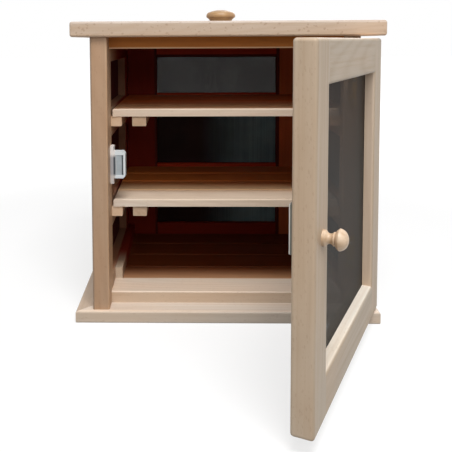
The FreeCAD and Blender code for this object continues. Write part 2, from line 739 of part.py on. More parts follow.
def hinge_levels():
    """Bottom of each hinge."""
    return {"lower": "door_bottom + hinge_inset", "upper": "door_top - hinge_inset - hinge_length"}


def make_leaf(name, side, bottom, x, y):
    """One hinge leaf about an axis at x, y: a plate, its knuckles, and room for the others.

    side is "case" (knuckles 1, 3, 5, plate behind the axis) or "door" (2, 4, in front).
    """
    count = int(value("knuckle_count"))
    pitch = "(hinge_length / knuckle_count)"
    first = 0 if side == "case" else 1
    plate_y = (y, f"{y} + door_gap / 2") if side == "case" else (f"{y} - door_gap / 2", y)
    plate = block(name + "_plate", (f"{x} - hinge_leaf_width", f"{x} - pin_radius"), plate_y,
                  (bottom, f"{bottom} + hinge_length"))
    rings, notches = [], []
    for number in range(count):
        low, high = f"{bottom} + {number} * {pitch}", f"{bottom} + {number + 1} * {pitch}"
        if number % 2 == first:
            ring = rod(f"{name}_knuckle_{number + 1}", "knuckle_radius",
                       f"{pitch} - knuckle_gap", "+z", x, y, f"{low} + knuckle_gap / 2")
            rings.append(ring)
            notch_reach = "0"
        else:
            notch_reach = f"{x} - knuckle_radius - 2 * knuckle_gap"
            notches.append(block(f"{name}_notch_{number + 1}", (notch_reach, x),
                                 (f"{y} - door_gap", f"{y} + door_gap"),
                                 (f"{low} - knuckle_gap / 2", f"{high} + knuckle_gap / 2")))
    whole = joined(name + "_whole", without(name + "_notched", plate,
                                            group(name + "_notches", notches)), *rings)
    bore_size = "pin_radius" if side == "case" else "bore_radius"
    bore = rod(name + "_bore", bore_size, "hinge_length + 2", "+z", x, y, f"{bottom} - 1")
    return without(name + "_bored", whole, bore)


def make_hinges():
    """Leaves, pins and screws of both hinges; gives the screws in the case and in the door."""
    leaves = {"case": [], "door": []}
    screws = {"case": [], "door": []}
    pins = []
    for level, bottom in hinge_levels().items():
        for side, x, y in (("case", "pivot_x", "pivot_y"), ("door", "0", "0")):
            name = f"{level}_{side}_leaf"
            leaf = make_leaf(name, side, bottom, x, y)
            direction = "+y" if side == "case" else "-y"
            heights = (f"{bottom} + hinge_screw_inset",
                       f"{bottom} + hinge_length - hinge_screw_inset")
            fixings = [screw(f"{name}_screw_{number}", direction, f"{x} - hinge_screw_reach",
                             y, height, small=True) for number, height in enumerate(heights, 1)]
            screws[side] += fixings
            leaves[side].append(without(name + "_drilled", leaf,
                                        group(name + "_fixings", fixings)))
        pins.append(rod(f"{level}_hinge_pin", "pin_radius", "hinge_length", "+z",
                        "pivot_x", "pivot_y", bottom))
    node(group("hinge_case_leaves", leaves["case"]), "hinge_case_leaves")
    on_door(group("door_leaves", leaves["door"]), "hinge_door_leaves")
    node(group("hinge_pins", pins), "hinge_pins")
    return screws


def make_strike():
    """Strike plate: a shallow steel tray, rim towards the door, held by one screw."""
    low, high = "catch_height - strike_length / 2", "catch_height + strike_length / 2"
    x = ("door_latch_edge + strike_inset", "door_latch_edge + strike_inset + strike_width")
    tray = block("strike_blank", x, ("door_back", "door_back + strike_height"), (low, high))
    tray = rounded("strike_rounded", tray, "strike_rounding",
                   lambda edge: lies(edge, y="door_back + strike_height") or runs(edge, "y"))
    hollow = block("strike_hollow", (f"{x[0]} + strike_sheet", f"{x[1]} - strike_sheet"),
                   ("door_back - 1", "door_back + strike_height - strike_sheet"),
                   (f"{low} + strike_sheet", f"{high} - strike_sheet"))
    fixing = screw("strike_screw", "-y", "door_latch_edge + strike_inset + strike_width / 2",
                   "door_back + strike_height", "catch_height", small=True)
    plate = without("strike_drilled", without("strike_tray", tray, hollow), fixing)
    on_door(plate, "strike_plate")
    return fixing


def make_door_knob():
    """Small turned knob with a bead, a drop-shaped head and a glued spigot."""
    half_bead = "0.9 * door_knob_bead"
    knob = turned("door_knob_body", [
        ("0", "-spigot_length", None),
        ("spigot_radius", "-spigot_length", None),
        ("spigot_radius", "0", None),
        ("door_knob_foot", "0", None),
        ("door_knob_foot", "door_knob_foot_height", None),
        ("door_knob_foot - door_knob_foot_bevel", "door_knob_foot_height + door_knob_foot_bevel",
         None),
        ("door_knob_throat", f"door_knob_bead_height - {half_bead}", "-door_knob_cove"),
        ("door_knob_throat", f"door_knob_bead_height + {half_bead}", "door_knob_bead"),
        ("door_knob_radius", "door_knob_belly", "door_knob_flare"),
        ("door_knob_nose", "door_knob_nose_height", "door_knob_slope"),
        ("knob_tip", "door_knob_reach",
         dome("door_knob_nose", "(door_knob_reach - door_knob_nose_height)")),
        ("0", "door_knob_reach", None),
    ])
    return bind(facing(knob, "-y"), Base_x="door_latch_edge + door_knob_inset",
                Base_y="door_front", Base_z="door_knob_height")


def make_door(knob, screws):
    """Door frame, its mesh, beads and knob."""
    frame = MeshFrame("door", "x", ("door_latch_edge", "door_hinge_edge"), "door_front", 1,
                      "door_thickness", "door_rebate_depth",
                      (("latch_stile", "door_stile_width"), ("hinge_stile", "door_stile_width")),
                      [("bottom_rail", "door_bottom", "door_bottom + door_rail_width"),
                       ("top_rail", "door_top - door_rail_width", "door_top")],
                      "door_rounding", "all")
    pieces = frame.pieces()
    bored = without("door_latch_stile_bored", pieces["latch_stile"], knob)
    on_door(without("door_latch_stile_drilled", bored, screws["strike"]), "door_latch_stile")
    on_door(without("door_hinge_stile_drilled", pieces["hinge_stile"], screws["hinge"]),
            "door_hinge_stile")
    for name in ("bottom_rail", "top_rail"):
        on_door(pieces[name], "door_" + name)
    on_door(frame.mesh(), "door_mesh")
    on_door(group("door_bead_strips", frame.beads()), "door_beads")
    on_door(knob, "door_knob")
    on_door(group("door_screw_set", [screws["hinge"], screws["strike"]]), "door_screws")


def make_case(runner_screws, catch_screws, hinge_screws, base_screws):
    """Side frames and back frame with their mesh, drilled for the fasteners."""
    beads = []
    for side, sign, outward in (("left", "-", -1), ("right", "", 1)):
        front_edge = "front" if side == "left" else "case_front"
        front_width = "(front_stile_width + door_gap + door_thickness)"
        if side == "right":
            front_width = "front_stile_width"
        frame = MeshFrame(side, "y", (front_edge, "back"), f"{sign}inner_half", outward,
                          "side_thickness", "side_rebate_depth",
                          (("front_stile", front_width), ("back_stile", "back_stile_width")),
                          case_rails(), "frame_rounding", "upright")
        pieces = frame.pieces()
        fixings = {"front_stile": catch_screws if side == "left" else hinge_screws,
                   "upper_mid_rail": runner_screws["upper", side],
                   "lower_mid_rail": runner_screws["lower", side]}
        for name, piece in pieces.items():
            if name in fixings:
                piece = without(f"{side}_{name}_drilled", piece, fixings[name])
            if name in ("front_stile", "back_stile", "bottom_rail"):
                piece = without(f"{side}_{name}_screwed", piece, base_screws)
            node(piece, f"{side}_{name}")
        node(frame.mesh(), f"{side}_mesh")
        beads += frame.beads()
    frame = MeshFrame("back", "x", ("-inner_half", "inner_half"), "inner_back", 1,
                      "back_thickness", "back_rebate_depth",
                      (("left_stile", "back_stile_width"), ("right_stile", "back_stile_width")),
                      case_rails(), "frame_rounding", "none")
    for name, piece in frame.pieces().items():
        node(piece, f"back_{name}")
    node(frame.mesh(), "back_mesh")
    node(group("case_bead_strips", beads + frame.beads()), "case_beads")


def check_and_export():
    """Stop on any failed object or sub-part, then write one STEP file per sub-part."""
    DOCUMENT.recompute()
    failed = [item.Label for item in DOCUMENT.Objects
              if "Invalid" in item.State or "Error" in item.State]
    if failed:
        raise RuntimeError("failed objects: " + ", ".join(failed))
    for item in NODES:
        if item.Shape.isNull() or not item.Shape.isValid() or not item.Shape.Solids:
            raise RuntimeError("bad shape: " + item.Label)
    os.makedirs("parts", exist_ok=True)
    for item in NODES:
        item.Shape.exportStep(os.path.join("parts", item.Label + ".step"))


def main():
    """Build the pie safe."""
    fill_sheet()
    base_rails = make_base()
    base_screws = group("base_screw_set", make_base_screws())
    for name, rail in base_rails.items():
        if name in ("base_left_rail", "base_right_rail"):
            rail = without(name + "_drilled", rail, base_screws)
        node(rail, name)
    make_floor()
    top_knob = make_top_knob()
    make_top(top_knob)
    node(top_knob, "top_knob")
    make_shelf("upper_shelf", "upper_shelf_height")
    make_shelf("lower_shelf", "lower_shelf_height")
    runner_screws = make_runners()
    catch_screws = make_catch()
    hinge_screws = make_hinges()
    hinge_case_screws = group("hinge_case_screw_set", hinge_screws["case"])
    make_case(runner_screws, catch_screws, hinge_case_screws, base_screws)
    strike_screw = make_strike()
    door_screws = {"hinge": group("hinge_door_screw_set", hinge_screws["door"]),
                   "strike": strike_screw}
    make_door(make_door_knob(), door_screws)
    node(group("wood_screw_set", [base_screws] + list(runner_screws.values())), "wood_screws")
    node(group("case_screw_set", [catch_screws, hinge_case_screws]), "case_small_screws")
    check_and_export()


main()
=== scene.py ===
"""Finishes, woven wire, lamps and camera for a small countertop pie safe.

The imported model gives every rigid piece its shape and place. This file weaves the wire cloth of
the windows, gives each piece its finish, and sets the safe on a pale floor in soft light.
All lengths are in metres, in the model's own frame: x to the right, y to the back, z up.
"""
import logging
import math
from dataclasses import dataclass, replace
from enum import Enum, IntEnum
from typing import ClassVar, Mapping, Sequence, Union

import bmesh
import bpy
from mathutils import Matrix, Vector


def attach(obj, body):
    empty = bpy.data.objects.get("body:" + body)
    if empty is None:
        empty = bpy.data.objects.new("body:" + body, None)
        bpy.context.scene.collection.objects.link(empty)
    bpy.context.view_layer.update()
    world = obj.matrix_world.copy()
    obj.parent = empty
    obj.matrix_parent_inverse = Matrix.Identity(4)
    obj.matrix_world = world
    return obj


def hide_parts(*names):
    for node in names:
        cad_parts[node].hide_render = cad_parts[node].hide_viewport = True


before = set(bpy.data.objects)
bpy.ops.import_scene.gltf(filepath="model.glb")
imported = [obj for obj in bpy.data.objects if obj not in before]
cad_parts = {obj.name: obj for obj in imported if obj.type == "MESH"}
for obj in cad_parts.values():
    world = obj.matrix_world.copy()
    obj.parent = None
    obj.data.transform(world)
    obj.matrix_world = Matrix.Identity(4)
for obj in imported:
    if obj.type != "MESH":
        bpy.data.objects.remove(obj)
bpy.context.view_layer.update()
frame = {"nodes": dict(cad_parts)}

LOG = logging.getLogger("pie_safe")

Pair = tuple[float, float]
Triple = tuple[float, float, float]
Value = Union["Channel", float, Sequence[float]]

HINGE_LINE: Triple = (0.1625, -0.121, 0.0)
DOOR_TURN = math.radians(64.6)
QUARTER_TURN = math.pi / 2.0
BLACK: Triple = (0.0, 0.0, 0.0)
WHITE: Triple = (1.0, 1.0, 1.0)
PLAIN_WOOD: Triple = (0.560, 0.440, 0.330)
# Painted shade for the inside of the case: warm half shade, and deep red-brown shade further
# back.
PAINTED_WARM_SHADE_WOOD: Triple = (0.460, 0.320, 0.220)
PAINTED_DEEP_SHADE_WOOD: Triple = (0.270, 0.020, 0.006)
SHADY_SHEEN = 0.2


class Axis(IntEnum):
    """The model's own axes, by their place in a vector."""

    X = 0
    Y = 1
    Z = 2


class Grain(Enum):
    """The way the fibres of a board run."""

    SIDEWAYS = Axis.X
    BACKWARDS = Axis.Y
    UPWARDS = Axis.Z

    def stretch(self, along: float, across: float) -> Triple:
        """Return a scale with one value along the fibres and one across them."""
        return tuple(along if axis is self.value else across for axis in Axis)


class Hang(Enum):
    """Whether a piece belongs to the fixed case or to the opened door."""

    CASE = "case"
    DOOR = "door"


@dataclass(frozen=True)
class Channel:
    """One output socket of a node, with arithmetic that adds Math nodes."""

    graph: "Graph"
    socket: bpy.types.NodeSocket | None

    def math(self, operation: str, *others: Value) -> "Channel":
        """Return the result of one Math node on this value and the others."""
        values = dict(enumerate((self,) + others))
        return self.graph.node("ShaderNodeMath", {"operation": operation}, values)

    def reverse(self, operation: str, other: Value) -> "Channel":
        """Return the result of one Math node with the other value first."""
        return self.graph.node("ShaderNodeMath", {"operation": operation}, {0: other, 1: self})

    def __add__(self, other: Value) -> "Channel":
        """Return the sum."""
        return self.math("ADD", other)

    def __radd__(self, other: Value) -> "Channel":
        """Return the sum."""
        return self.math("ADD", other)

    def __sub__(self, other: Value) -> "Channel":
        """Return the difference."""
        return self.math("SUBTRACT", other)

    def __rsub__(self, other: Value) -> "Channel":
        """Return the difference, the other value first."""
        return self.reverse("SUBTRACT", other)

    def __mul__(self, other: Value) -> "Channel":
        """Return the product."""
        return self.math("MULTIPLY", other)

    def __rmul__(self, other: Value) -> "Channel":
        """Return the product."""
        return self.math("MULTIPLY", other)

    def __truediv__(self, other: Value) -> "Channel":
        """Return the quotient."""
        return self.math("DIVIDE", other)

    def __rtruediv__(self, other: Value) -> "Channel":
        """Return the quotient, the other value first."""
        return self.reverse("DIVIDE", other)

    def __pow__(self, other: Value) -> "Channel":
        """Return the power."""
        return self.math("POWER", other)

    def __rpow__(self, other: Value) -> "Channel":
        """Return the power, the other value first."""
        return self.reverse("POWER", other)

    def __gt__(self, other: Value) -> "Channel":
        """Return 1 where this value is the greater, otherwise 0."""
        return self.math("GREATER_THAN", other)

    def __lt__(self, other: Value) -> "Channel":
        """Return 1 where this value is the smaller, otherwise 0."""
        return self.math("LESS_THAN", other)

    def floor(self) -> "Channel":
        """Return the whole number below."""
        return self.math("FLOOR")

    def wave(self) -> "Channel":
        """Return the sine, brought to the range 0 to 1."""
        return self.math("SINE") * 0.5 + 0.5

    def between(self, low: float, high: float) -> "Channel":
        """Return 0 below the low value, 1 above the high one, and a smooth rise between.

        Args:
            low: The value at which the rise starts.
            high: The value at which it ends. It may be the smaller of the two.

        Returns:
            The smoothed channel.
        """
        turned = high < low
        edges = (high, low) if turned else (low, high)
        rise = self.graph.node("ShaderNodeMapRange", {"interpolation_type": "SMOOTHSTEP"},
                               {"Value": self, "From Min": edges[0], "From Max": edges[1]})
        return 1.0 - rise if turned else rise

    def around(self, middle: float, spread: float) -> "Channel":
        """Return noise of about 0.5 brought to lie around another middle."""
        return (self - 0.5) * spread + middle


class Graph:
    """The nodes of one material or of the world.

    COLOUR_MIX holds a Mix node's sockets for the factor and two colours.
    """

    COLOUR_MIX: ClassVar[tuple[int, int, int]] = (0, 6, 7)
    MIXED_COLOUR: ClassVar[int] = 2

    def __init__(self, tree: bpy.types.NodeTree) -> None:
        """Start from an empty node tree."""
        self.tree = tree
        tree.nodes.clear()

    def node(self, kind: str, settings: Mapping[str, object], inputs: Mapping[object, Value],
             output: Union[int, str] = 0) -> Channel:
        """Add one node.

        Args:
            kind: The node's type name.
            settings: Its settings by name, which are set first.
            inputs: Values or links by the socket's name or number.
            output: The name or number of the socket to return.

        Returns:
            The chosen output.
        """
        made = self.tree.nodes.new(kind)
        for word, value in settings.items():
            setattr(made, word, value)
        for key, value in inputs.items():
            socket = made.inputs[key]
            if isinstance(value, Channel):
                self.tree.links.new(value.socket, socket)
            elif isinstance(value, (int, float)):
                socket.default_value = value
            else:
                size = len(socket.default_value)
                socket.default_value = (*value, 1.0)[:size]
        return Channel(self, made.outputs[output] if len(made.outputs) else None)

    def vector(self, operation: str, first: Value, second: Value) -> Channel:
        """Return one Vector Math node's result. For SCALE the second value is the factor."""
        place = "Scale" if operation == "SCALE" else 1
        return self.node("ShaderNodeVectorMath", {"operation": operation},
                         {0: first, place: second})

    def mix(self, factor: Value, first: Value, second: Value) -> Channel:
        """Return the first colour where the factor is 0 and the second where it is 1."""
        return self.node("ShaderNodeMix", {"data_type": "RGBA"},
                         dict(zip(self.COLOUR_MIX, (factor, first, second))),
                         self.MIXED_COLOUR)

    def noise(self, place: Channel, detail: float = 2.0, rough: float = 0.5) -> Channel:
        """Return soft noise, about 0.5 on average, at already scaled coordinates."""
        return self.node("ShaderNodeTexNoise", {}, {"Vector": place, "Scale": 1.0,
                                                    "Detail": detail, "Roughness": rough})

    def part(self, place: Channel, axis: Axis) -> Channel:
        """Return one coordinate of a vector."""
        return self.node("ShaderNodeSeparateXYZ", {}, {0: place}, axis)

    def place(self, hang: Hang = Hang.CASE) -> Channel:
        """Return the object coordinates, turned back to the shut door for the door's pieces.

        Args:
            hang: Whether the piece is on the case or on the door.

        Returns:
            A vector in metres, along the piece's own edges.
        """
        here = self.node("ShaderNodeTexCoord", {}, {}, "Object")
        if hang is Hang.CASE:
            return here
        moved = self.node("ShaderNodeMapping", {"vector_type": "POINT"},
                          {"Vector": here, "Location": tuple(-v for v in HINGE_LINE)})
        return self.node("ShaderNodeMapping", {"vector_type": "POINT"},
                         {"Vector": moved, "Rotation": (0.0, 0.0, -DOOR_TURN)})

    def bump(self, height: Channel, strength: float, distance: float) -> Channel:
        """Return the normal that a height pattern gives."""
        return self.node("ShaderNodeBump", {}, {"Strength": strength, "Distance": distance,
                                                "Height": height})


@dataclass(frozen=True)
class Finish:
    """A finish that makes one material for each piece it is put on.

    In each finish ROUGH is a roughness and its spread, COAT a clear coat's weight and
    roughness, and RELIEF a bump's strength and depth.
    """

    def paint(self, graph: Graph) -> Mapping[str, Value]:
        """Return the shader's sockets by name; each finish has its own."""
        raise NotImplementedError

    def material(self, name: str) -> bpy.types.Material:
        """Make the material.

        Args:
            name: The material's name.

        Returns:
            A material with this finish.
        """
        made = bpy.data.materials.new(name)
        made.use_nodes = True
        graph = Graph(made.node_tree)
        shader = graph.node("ShaderNodeBsdfPrincipled", {}, self.paint(graph))
        graph.node("ShaderNodeOutputMaterial", {}, {"Surface": shader})
        return made


@dataclass(frozen=True)
class Plane:
    """A plane across one axis, soft between its start and its end."""

    axis: Axis
    start: float
    end: float

    def past(self, graph: Graph, here: Channel) -> Channel:
        """Return 0 before the plane and 1 past it."""
        return graph.part(here, self.axis).between(self.start, self.end)

    def mirrored(self, sign: float) -> "Plane":
        """Return the plane on the left side for -1 or on the right side for 1."""
        return replace(self, start=sign * self.start, end=sign * self.end)


@dataclass(frozen=True)
class Fade:
    """A second colour that a piece takes past a plane, and more on either side of it."""

    plane: Plane
    colour: Triple
    further: "Fade | None" = None
    nearer: "Fade | None" = None

    def over(self, graph: Graph, here: Channel, colour: Triple) -> Channel:
        """Lay this colour over another.

        Args:
            graph: The graph to add the nodes to.
            here: The piece's own coordinates.
            colour: The colour before the plane.

        Returns:
            The colour on both sides.
        """
        return graph.mix(self.plane.past(graph, here), laid(graph, here, colour, self.nearer),
                         laid(graph, here, self.colour, self.further))


def laid(graph: Graph, here: Channel, colour: Triple, fade: Fade | None) -> Value:
    """Return a piece's colour, with its fade where it has one."""
    return fade.over(graph, here, colour) if fade else colour


@dataclass(frozen=True)
class Pattern:
    """Soft noise, in cells per metre along the grain and across it."""

    along: float
    across: float
    detail: float = 2.0
    rough: float = 0.5

    def draw(self, graph: Graph, place: Channel, grain: Grain = Grain.UPWARDS) -> Channel:
        """Return the noise at a place."""
        cells = graph.vector("MULTIPLY", place, grain.stretch(self.along, self.across))
        return graph.noise(cells, self.detail, self.rough)


@dataclass(frozen=True)
class Stain:
    """A tone that comes in, up to its share, as a pattern rises from low to high."""

    tone: Triple
    low: float
    high: float
    share: float = 1.0

    def over(self, graph: Graph, pattern: Channel, tone: Value) -> Channel:
        """Return another tone with this one over it."""
        return graph.mix(pattern.between(self.low, self.high) * self.share, tone, self.tone)


@dataclass(frozen=True)
class Boards:
    """Equal boards side by side, each from another place in the log."""

    axis: Axis
    start: float
    pitch: float

    def number(self, graph: Graph, here: Channel) -> Channel:
        """Return the number of the board at a place."""
        return ((graph.part(here, self.axis) - self.start) / self.pitch).floor()


@dataclass(frozen=True)
class Beech(Finish):
    """Planed and waxed beech: fine streaks, soft growth lines and short brown flecks."""

    colour: Triple
    grain: Grain
    seed: float
    hang: Hang = Hang.CASE
    fleck: float = 0.16
    fleck_cell: Pair = (0.0048, 0.0018)
    fleck_share: float = 0.48
    growth: float = 0.16
    figure: Pattern = Pattern(1.3, 9.0, 1.0, 0.3)
    sheen: float = 0.5
    boards: Boards | None = None
    fade: Fade | None = None

    LOG_STEP: ClassVar[Triple] = (0.73, 0.41, 0.59)
    BOARD_STEP: ClassVar[Triple] = (0.31, 0.17, 0.23)
    BOARD_TURN: ClassVar[float] = 2.4
    BOARD_SHARE: ClassVar[float] = 0.5
    BOARD_TONE: ClassVar[Triple] = (0.88, 0.83, 0.76)
    WARM_TONE: ClassVar[Triple] = (1.03, 0.965, 0.90)
    MOTTLE: ClassVar[Pattern] = Pattern(4.0, 16.0)
    MOTTLE_STAIN: ClassVar[Stain] = Stain((0.985, 1.02, 1.05), 0.32, 0.68)
    BAND: ClassVar[Pattern] = Pattern(3.0, 70.0, 3.0, 0.55)
    BAND_RISE: ClassVar[Pair] = (0.42, 0.74)
    BAND_SHARE: ClassVar[float] = 0.20
    BAND_TONE: ClassVar[Triple] = (0.74, 0.64, 0.53)
    RINGS: ClassVar[float] = 210.0
    RING_POWER: ClassVar[float] = 2.0
    STREAK: ClassVar[Pattern] = Pattern(7.0, 300.0, 4.0, 0.6)
    STREAK_STAIN: ClassVar[Stain] = Stain((0.80, 0.70, 0.58), 0.46, 0.72, 0.28)
    PORE: ClassVar[Pattern] = Pattern(90.0, 1500.0)
    FLECK_TONE: ClassVar[Triple] = (0.50, 0.37, 0.27)
    FLECK_SIZE: ClassVar[Pair] = (0.14, 0.32)
    FLECK_EDGE: ClassVar[float] = 0.16
    FLECK_WARP: ClassVar[Pair] = (1.7, 0.9)
    FLOCK: ClassVar[Pattern] = Pattern(16.0, 60.0, 1.0)
    FLOCK_LIMIT: ClassVar[float] = 1.4
    FLOCK_PULL: ClassVar[float] = 0.8
    HEIGHTS: ClassVar[Triple] = (0.5, 0.6, 0.35)
    RELIEF: ClassVar[Pair] = (0.30, 0.0004)
    ROUGH: ClassVar[Pair] = (0.50, 0.3)
    COAT: ClassVar[Pair] = (0.1, 0.34)

    def flecks(self, graph: Graph, wood: Channel) -> Channel:
        """Scatter the short brown flecks, in flocks and in many sizes.

        Args:
            graph: The graph to add the nodes to.
            wood: The coordinates in the log.

        Returns:
            1 on a fleck, otherwise 0.
        """
        along, across = self.fleck_cell
        cell = graph.vector("MULTIPLY", wood, self.grain.stretch(1.0 / along, 1.0 / across))
        scale, warp = self.FLECK_WARP
        bend = graph.noise(graph.vector("SCALE", cell, scale), 1.0) * warp
        spots = {"Vector": graph.vector("ADD", cell, bend), "Scale": 1.0, "Randomness": 1.0}
        near = graph.node("ShaderNodeTexVoronoi", {}, spots, "Distance")
        hue = graph.node("ShaderNodeTexVoronoi", {}, spots, "Color")
        least, spread = self.FLECK_SIZE
        size = graph.part(hue, Axis.Y) * spread + least
        flock = self.FLOCK.draw(graph, wood, self.grain)
        limit = self.FLOCK_LIMIT - self.fleck_share - flock * self.FLOCK_PULL
        return (size - near).between(0.0, self.FLECK_EDGE) * (graph.part(hue, Axis.X) > limit)

    def paint(self, graph: Graph) -> Mapping[str, Value]:
        """Return colour, roughness and bump of the wood.

        Args:
            graph: The graph to add the nodes to.

        Returns:
            The sockets of the Principled shader.
        """
        here = graph.place(self.hang)
        wood = graph.vector("ADD", here, tuple(self.seed * step for step in self.LOG_STEP))
        number = self.boards.number(graph, here) if self.boards else None
        if number is not None:
            wood = graph.vector("ADD", wood, graph.vector("SCALE", self.BOARD_STEP, number))
        tone = self.MOTTLE_STAIN.over(graph, self.MOTTLE.draw(graph, wood, self.grain),
                                      self.WARM_TONE)
        if number is not None:
            tint = (number * self.BOARD_TURN + self.seed).wave()
            tone = graph.mix(tint * self.BOARD_SHARE, tone, self.BOARD_TONE)
        band = self.BAND.draw(graph, wood, self.grain)
        growth = (self.figure.draw(graph, wood, self.grain) * self.RINGS).wave()
        dark = (band.between(*self.BAND_RISE) * self.BAND_SHARE
                + growth ** self.RING_POWER * self.growth)
        tone = graph.mix(dark, tone, self.BAND_TONE)
        streak = self.STREAK.draw(graph, wood, self.grain)
        tone = self.STREAK_STAIN.over(graph, streak, tone)
        fleck = self.flecks(graph, wood)
        tone = graph.mix(fleck * self.fleck, tone, self.FLECK_TONE)
        pore = self.PORE.draw(graph, wood, self.grain)
        raised, open_pore, sunk = self.HEIGHTS
        height = streak * raised + pore * open_pore - fleck * sunk
        coat, coat_rough = self.COAT
        colour = laid(graph, here, self.colour, self.fade)
        return {"Base Color": graph.vector("MULTIPLY", tone, colour),
                "Roughness": streak.around(*self.ROUGH), "Specular IOR Level": self.sheen,
                "Coat Weight": coat * self.sheen, "Coat Roughness": coat_rough,
                "Normal": graph.bump(height, *self.RELIEF)}


@dataclass(frozen=True)
class TurnedWood(Finish):
    """Lathe-turned wood: lines of the turning tool round an axis and grain along it."""

    colour: Triple
    grain: Grain
    seed: float
    hang: Hang = Hang.CASE

    LOG_STEP: ClassVar[Triple] = (1.0, 0.4, 0.7)
    LIGHT_TONE: ClassVar[Triple] = (1.06, 1.03, 1.0)
    BAND: ClassVar[Pattern] = Pattern(18.0, 85.0, 3.0, 0.5)
    BAND_STAIN: ClassVar[Stain] = Stain((0.84, 0.74, 0.62), 0.35, 0.68)
    STREAK: ClassVar[Pattern] = Pattern(30.0, 420.0, 4.0, 0.6)
    STREAK_STAIN: ClassVar[Stain] = Stain((0.66, 0.52, 0.40), 0.45, 0.75, 0.4)
    TOOL_LINES: ClassVar[float] = 5200.0
    TOOL_HEIGHT: ClassVar[float] = 0.5
    RELIEF: ClassVar[Pair] = (0.22, 0.0003)
    ROUGH: ClassVar[Pair] = (0.44, 0.25)
    COAT: ClassVar[Pair] = (0.15, 0.28)

    def paint(self, graph: Graph) -> Mapping[str, Value]:
        """Return colour, roughness and bump of the turning.

        Args:
            graph: The graph to add the nodes to.

        Returns:
            The sockets of the Principled shader.
        """
        here = graph.place(self.hang)
        wood = graph.vector("ADD", here, tuple(self.seed * step for step in self.LOG_STEP))
        band = self.BAND.draw(graph, wood, self.grain)
        streak = self.STREAK.draw(graph, wood, self.grain)
        tone = self.BAND_STAIN.over(graph, band, self.LIGHT_TONE)
        tone = self.STREAK_STAIN.over(graph, streak, tone)
        tool = (graph.part(here, self.grain.value) * self.TOOL_LINES).wave()
        coat, coat_rough = self.COAT
        return {"Base Color": graph.vector("MULTIPLY", tone, self.colour),
                "Roughness": streak.around(*self.ROUGH),
                "Normal": graph.bump(tool * self.TOOL_HEIGHT + streak, *self.RELIEF),
                "Coat Weight": coat, "Coat Roughness": coat_rough}


@dataclass(frozen=True)
class Metal(Finish):
    """A metal with cloudy plating and fine rubbed lines."""

    colour: Triple
    metallic: float
    rough: float
    hang: Hang = Hang.CASE
    fade: Fade | None = None

    CLOUD: ClassVar[Pattern] = Pattern(60.0, 60.0, 3.0)
    CLOUD_STAIN: ClassVar[Stain] = Stain((0.78, 0.77, 0.76), 0.3, 0.7, 0.72)
    RUBBED: ClassVar[Triple] = (2600.0, 900.0, 240.0)
    RELIEF: ClassVar[Pair] = (0.12, 0.0001)
    CLOUD_ROUGH: ClassVar[float] = 0.3
    RUBBED_ROUGH: ClassVar[float] = 0.12

    def paint(self, graph: Graph) -> Mapping[str, Value]:
        """Return colour, roughness and bump of the metal.

        Args:
            graph: The graph to add the nodes to.

        Returns:
            The sockets of the Principled shader.
        """
        here = graph.place(self.hang)
        cloud = self.CLOUD.draw(graph, here)
        rub = graph.noise(graph.vector("MULTIPLY", here, self.RUBBED))
        tone = self.CLOUD_STAIN.over(graph, cloud, WHITE)
        base = graph.vector("MULTIPLY", tone, laid(graph, here, self.colour, self.fade))
        rough = cloud.around(self.rough, self.CLOUD_ROUGH) + rub.around(0.0, self.RUBBED_ROUGH)
        return {"Base Color": base, "Metallic": self.metallic, "Roughness": rough,
                "Normal": graph.bump(rub, *self.RELIEF)}


@dataclass(frozen=True)
class Moulding(Finish):
    """A moulded solid with a faint grained skin."""

    colour: Triple
    fade: Fade | None = None

    CLOUD: ClassVar[Pattern] = Pattern(55.0, 55.0)
    CLOUD_STAIN: ClassVar[Stain] = Stain((0.93, 0.94, 0.95), 0.35, 0.7, 0.5)
    SKIN: ClassVar[Pattern] = Pattern(2400.0, 2400.0)
    RELIEF: ClassVar[Pair] = (0.15, 0.0001)
    ROUGH: ClassVar[Pair] = (0.42, 0.2)

    def paint(self, graph: Graph) -> Mapping[str, Value]:
        """Return colour, roughness and bump of the skin.

        Args:
            graph: The graph to add the nodes to.

        Returns:
            The sockets of the Principled shader.
        """
        here = graph.place()
        skin = self.SKIN.draw(graph, here)
        tone = self.CLOUD_STAIN.over(graph, self.CLOUD.draw(graph, here), WHITE)
        base = graph.vector("MULTIPLY", tone, laid(graph, here, self.colour, self.fade))
        return {"Base Color": base, "Roughness": skin.around(*self.ROUGH),
                "Normal": graph.bump(skin, *self.RELIEF)}


@dataclass(frozen=True)
class Wire(Finish):
    """Dark galvanised wire, dull and a little uneven along the cloth."""

    colour: Triple
    hang: Hang = Hang.CASE
    fade: Fade | None = None

    CLOUD: ClassVar[Pattern] = Pattern(22.0, 22.0, 3.0)
    CLOUD_STAIN: ClassVar[Stain] = Stain((0.72, 0.72, 0.73), 0.3, 0.7)
    THREAD: ClassVar[Pattern] = Pattern(6.0, 900.0)
    THREAD_STAIN: ClassVar[Stain] = Stain((1.25, 1.24, 1.22), 0.4, 0.7, 0.5)
    ROUGH: ClassVar[Pair] = (0.62, 0.2)
    METALLIC: ClassVar[float] = 0.1
    SHEEN: ClassVar[float] = 0.12

    def paint(self, graph: Graph) -> Mapping[str, Value]:
        """Return colour and roughness of the wire.

        Args:
            graph: The graph to add the nodes to.

        Returns:
            The sockets of the Principled shader.
        """
        here = graph.place(self.hang)
        thread = self.THREAD.draw(graph, here)
        tone = self.CLOUD_STAIN.over(graph, self.CLOUD.draw(graph, here), WHITE)
        tone = self.THREAD_STAIN.over(graph, thread, tone)
        base = graph.vector("MULTIPLY", tone, laid(graph, here, self.colour, self.fade))
        return {"Base Color": base, "Metallic": self.METALLIC,
                "Specular IOR Level": self.SHEEN, "Roughness": thread.around(*self.ROUGH)}


BRASS = Metal((0.62, 0.46, 0.22), metallic=0.95, rough=0.36)
PIN_BRASS = Metal((0.58, 0.43, 0.21), metallic=0.95, rough=0.34)
SCREW_STEEL = Metal((0.60, 0.60, 0.58), metallic=0.95, rough=0.34)


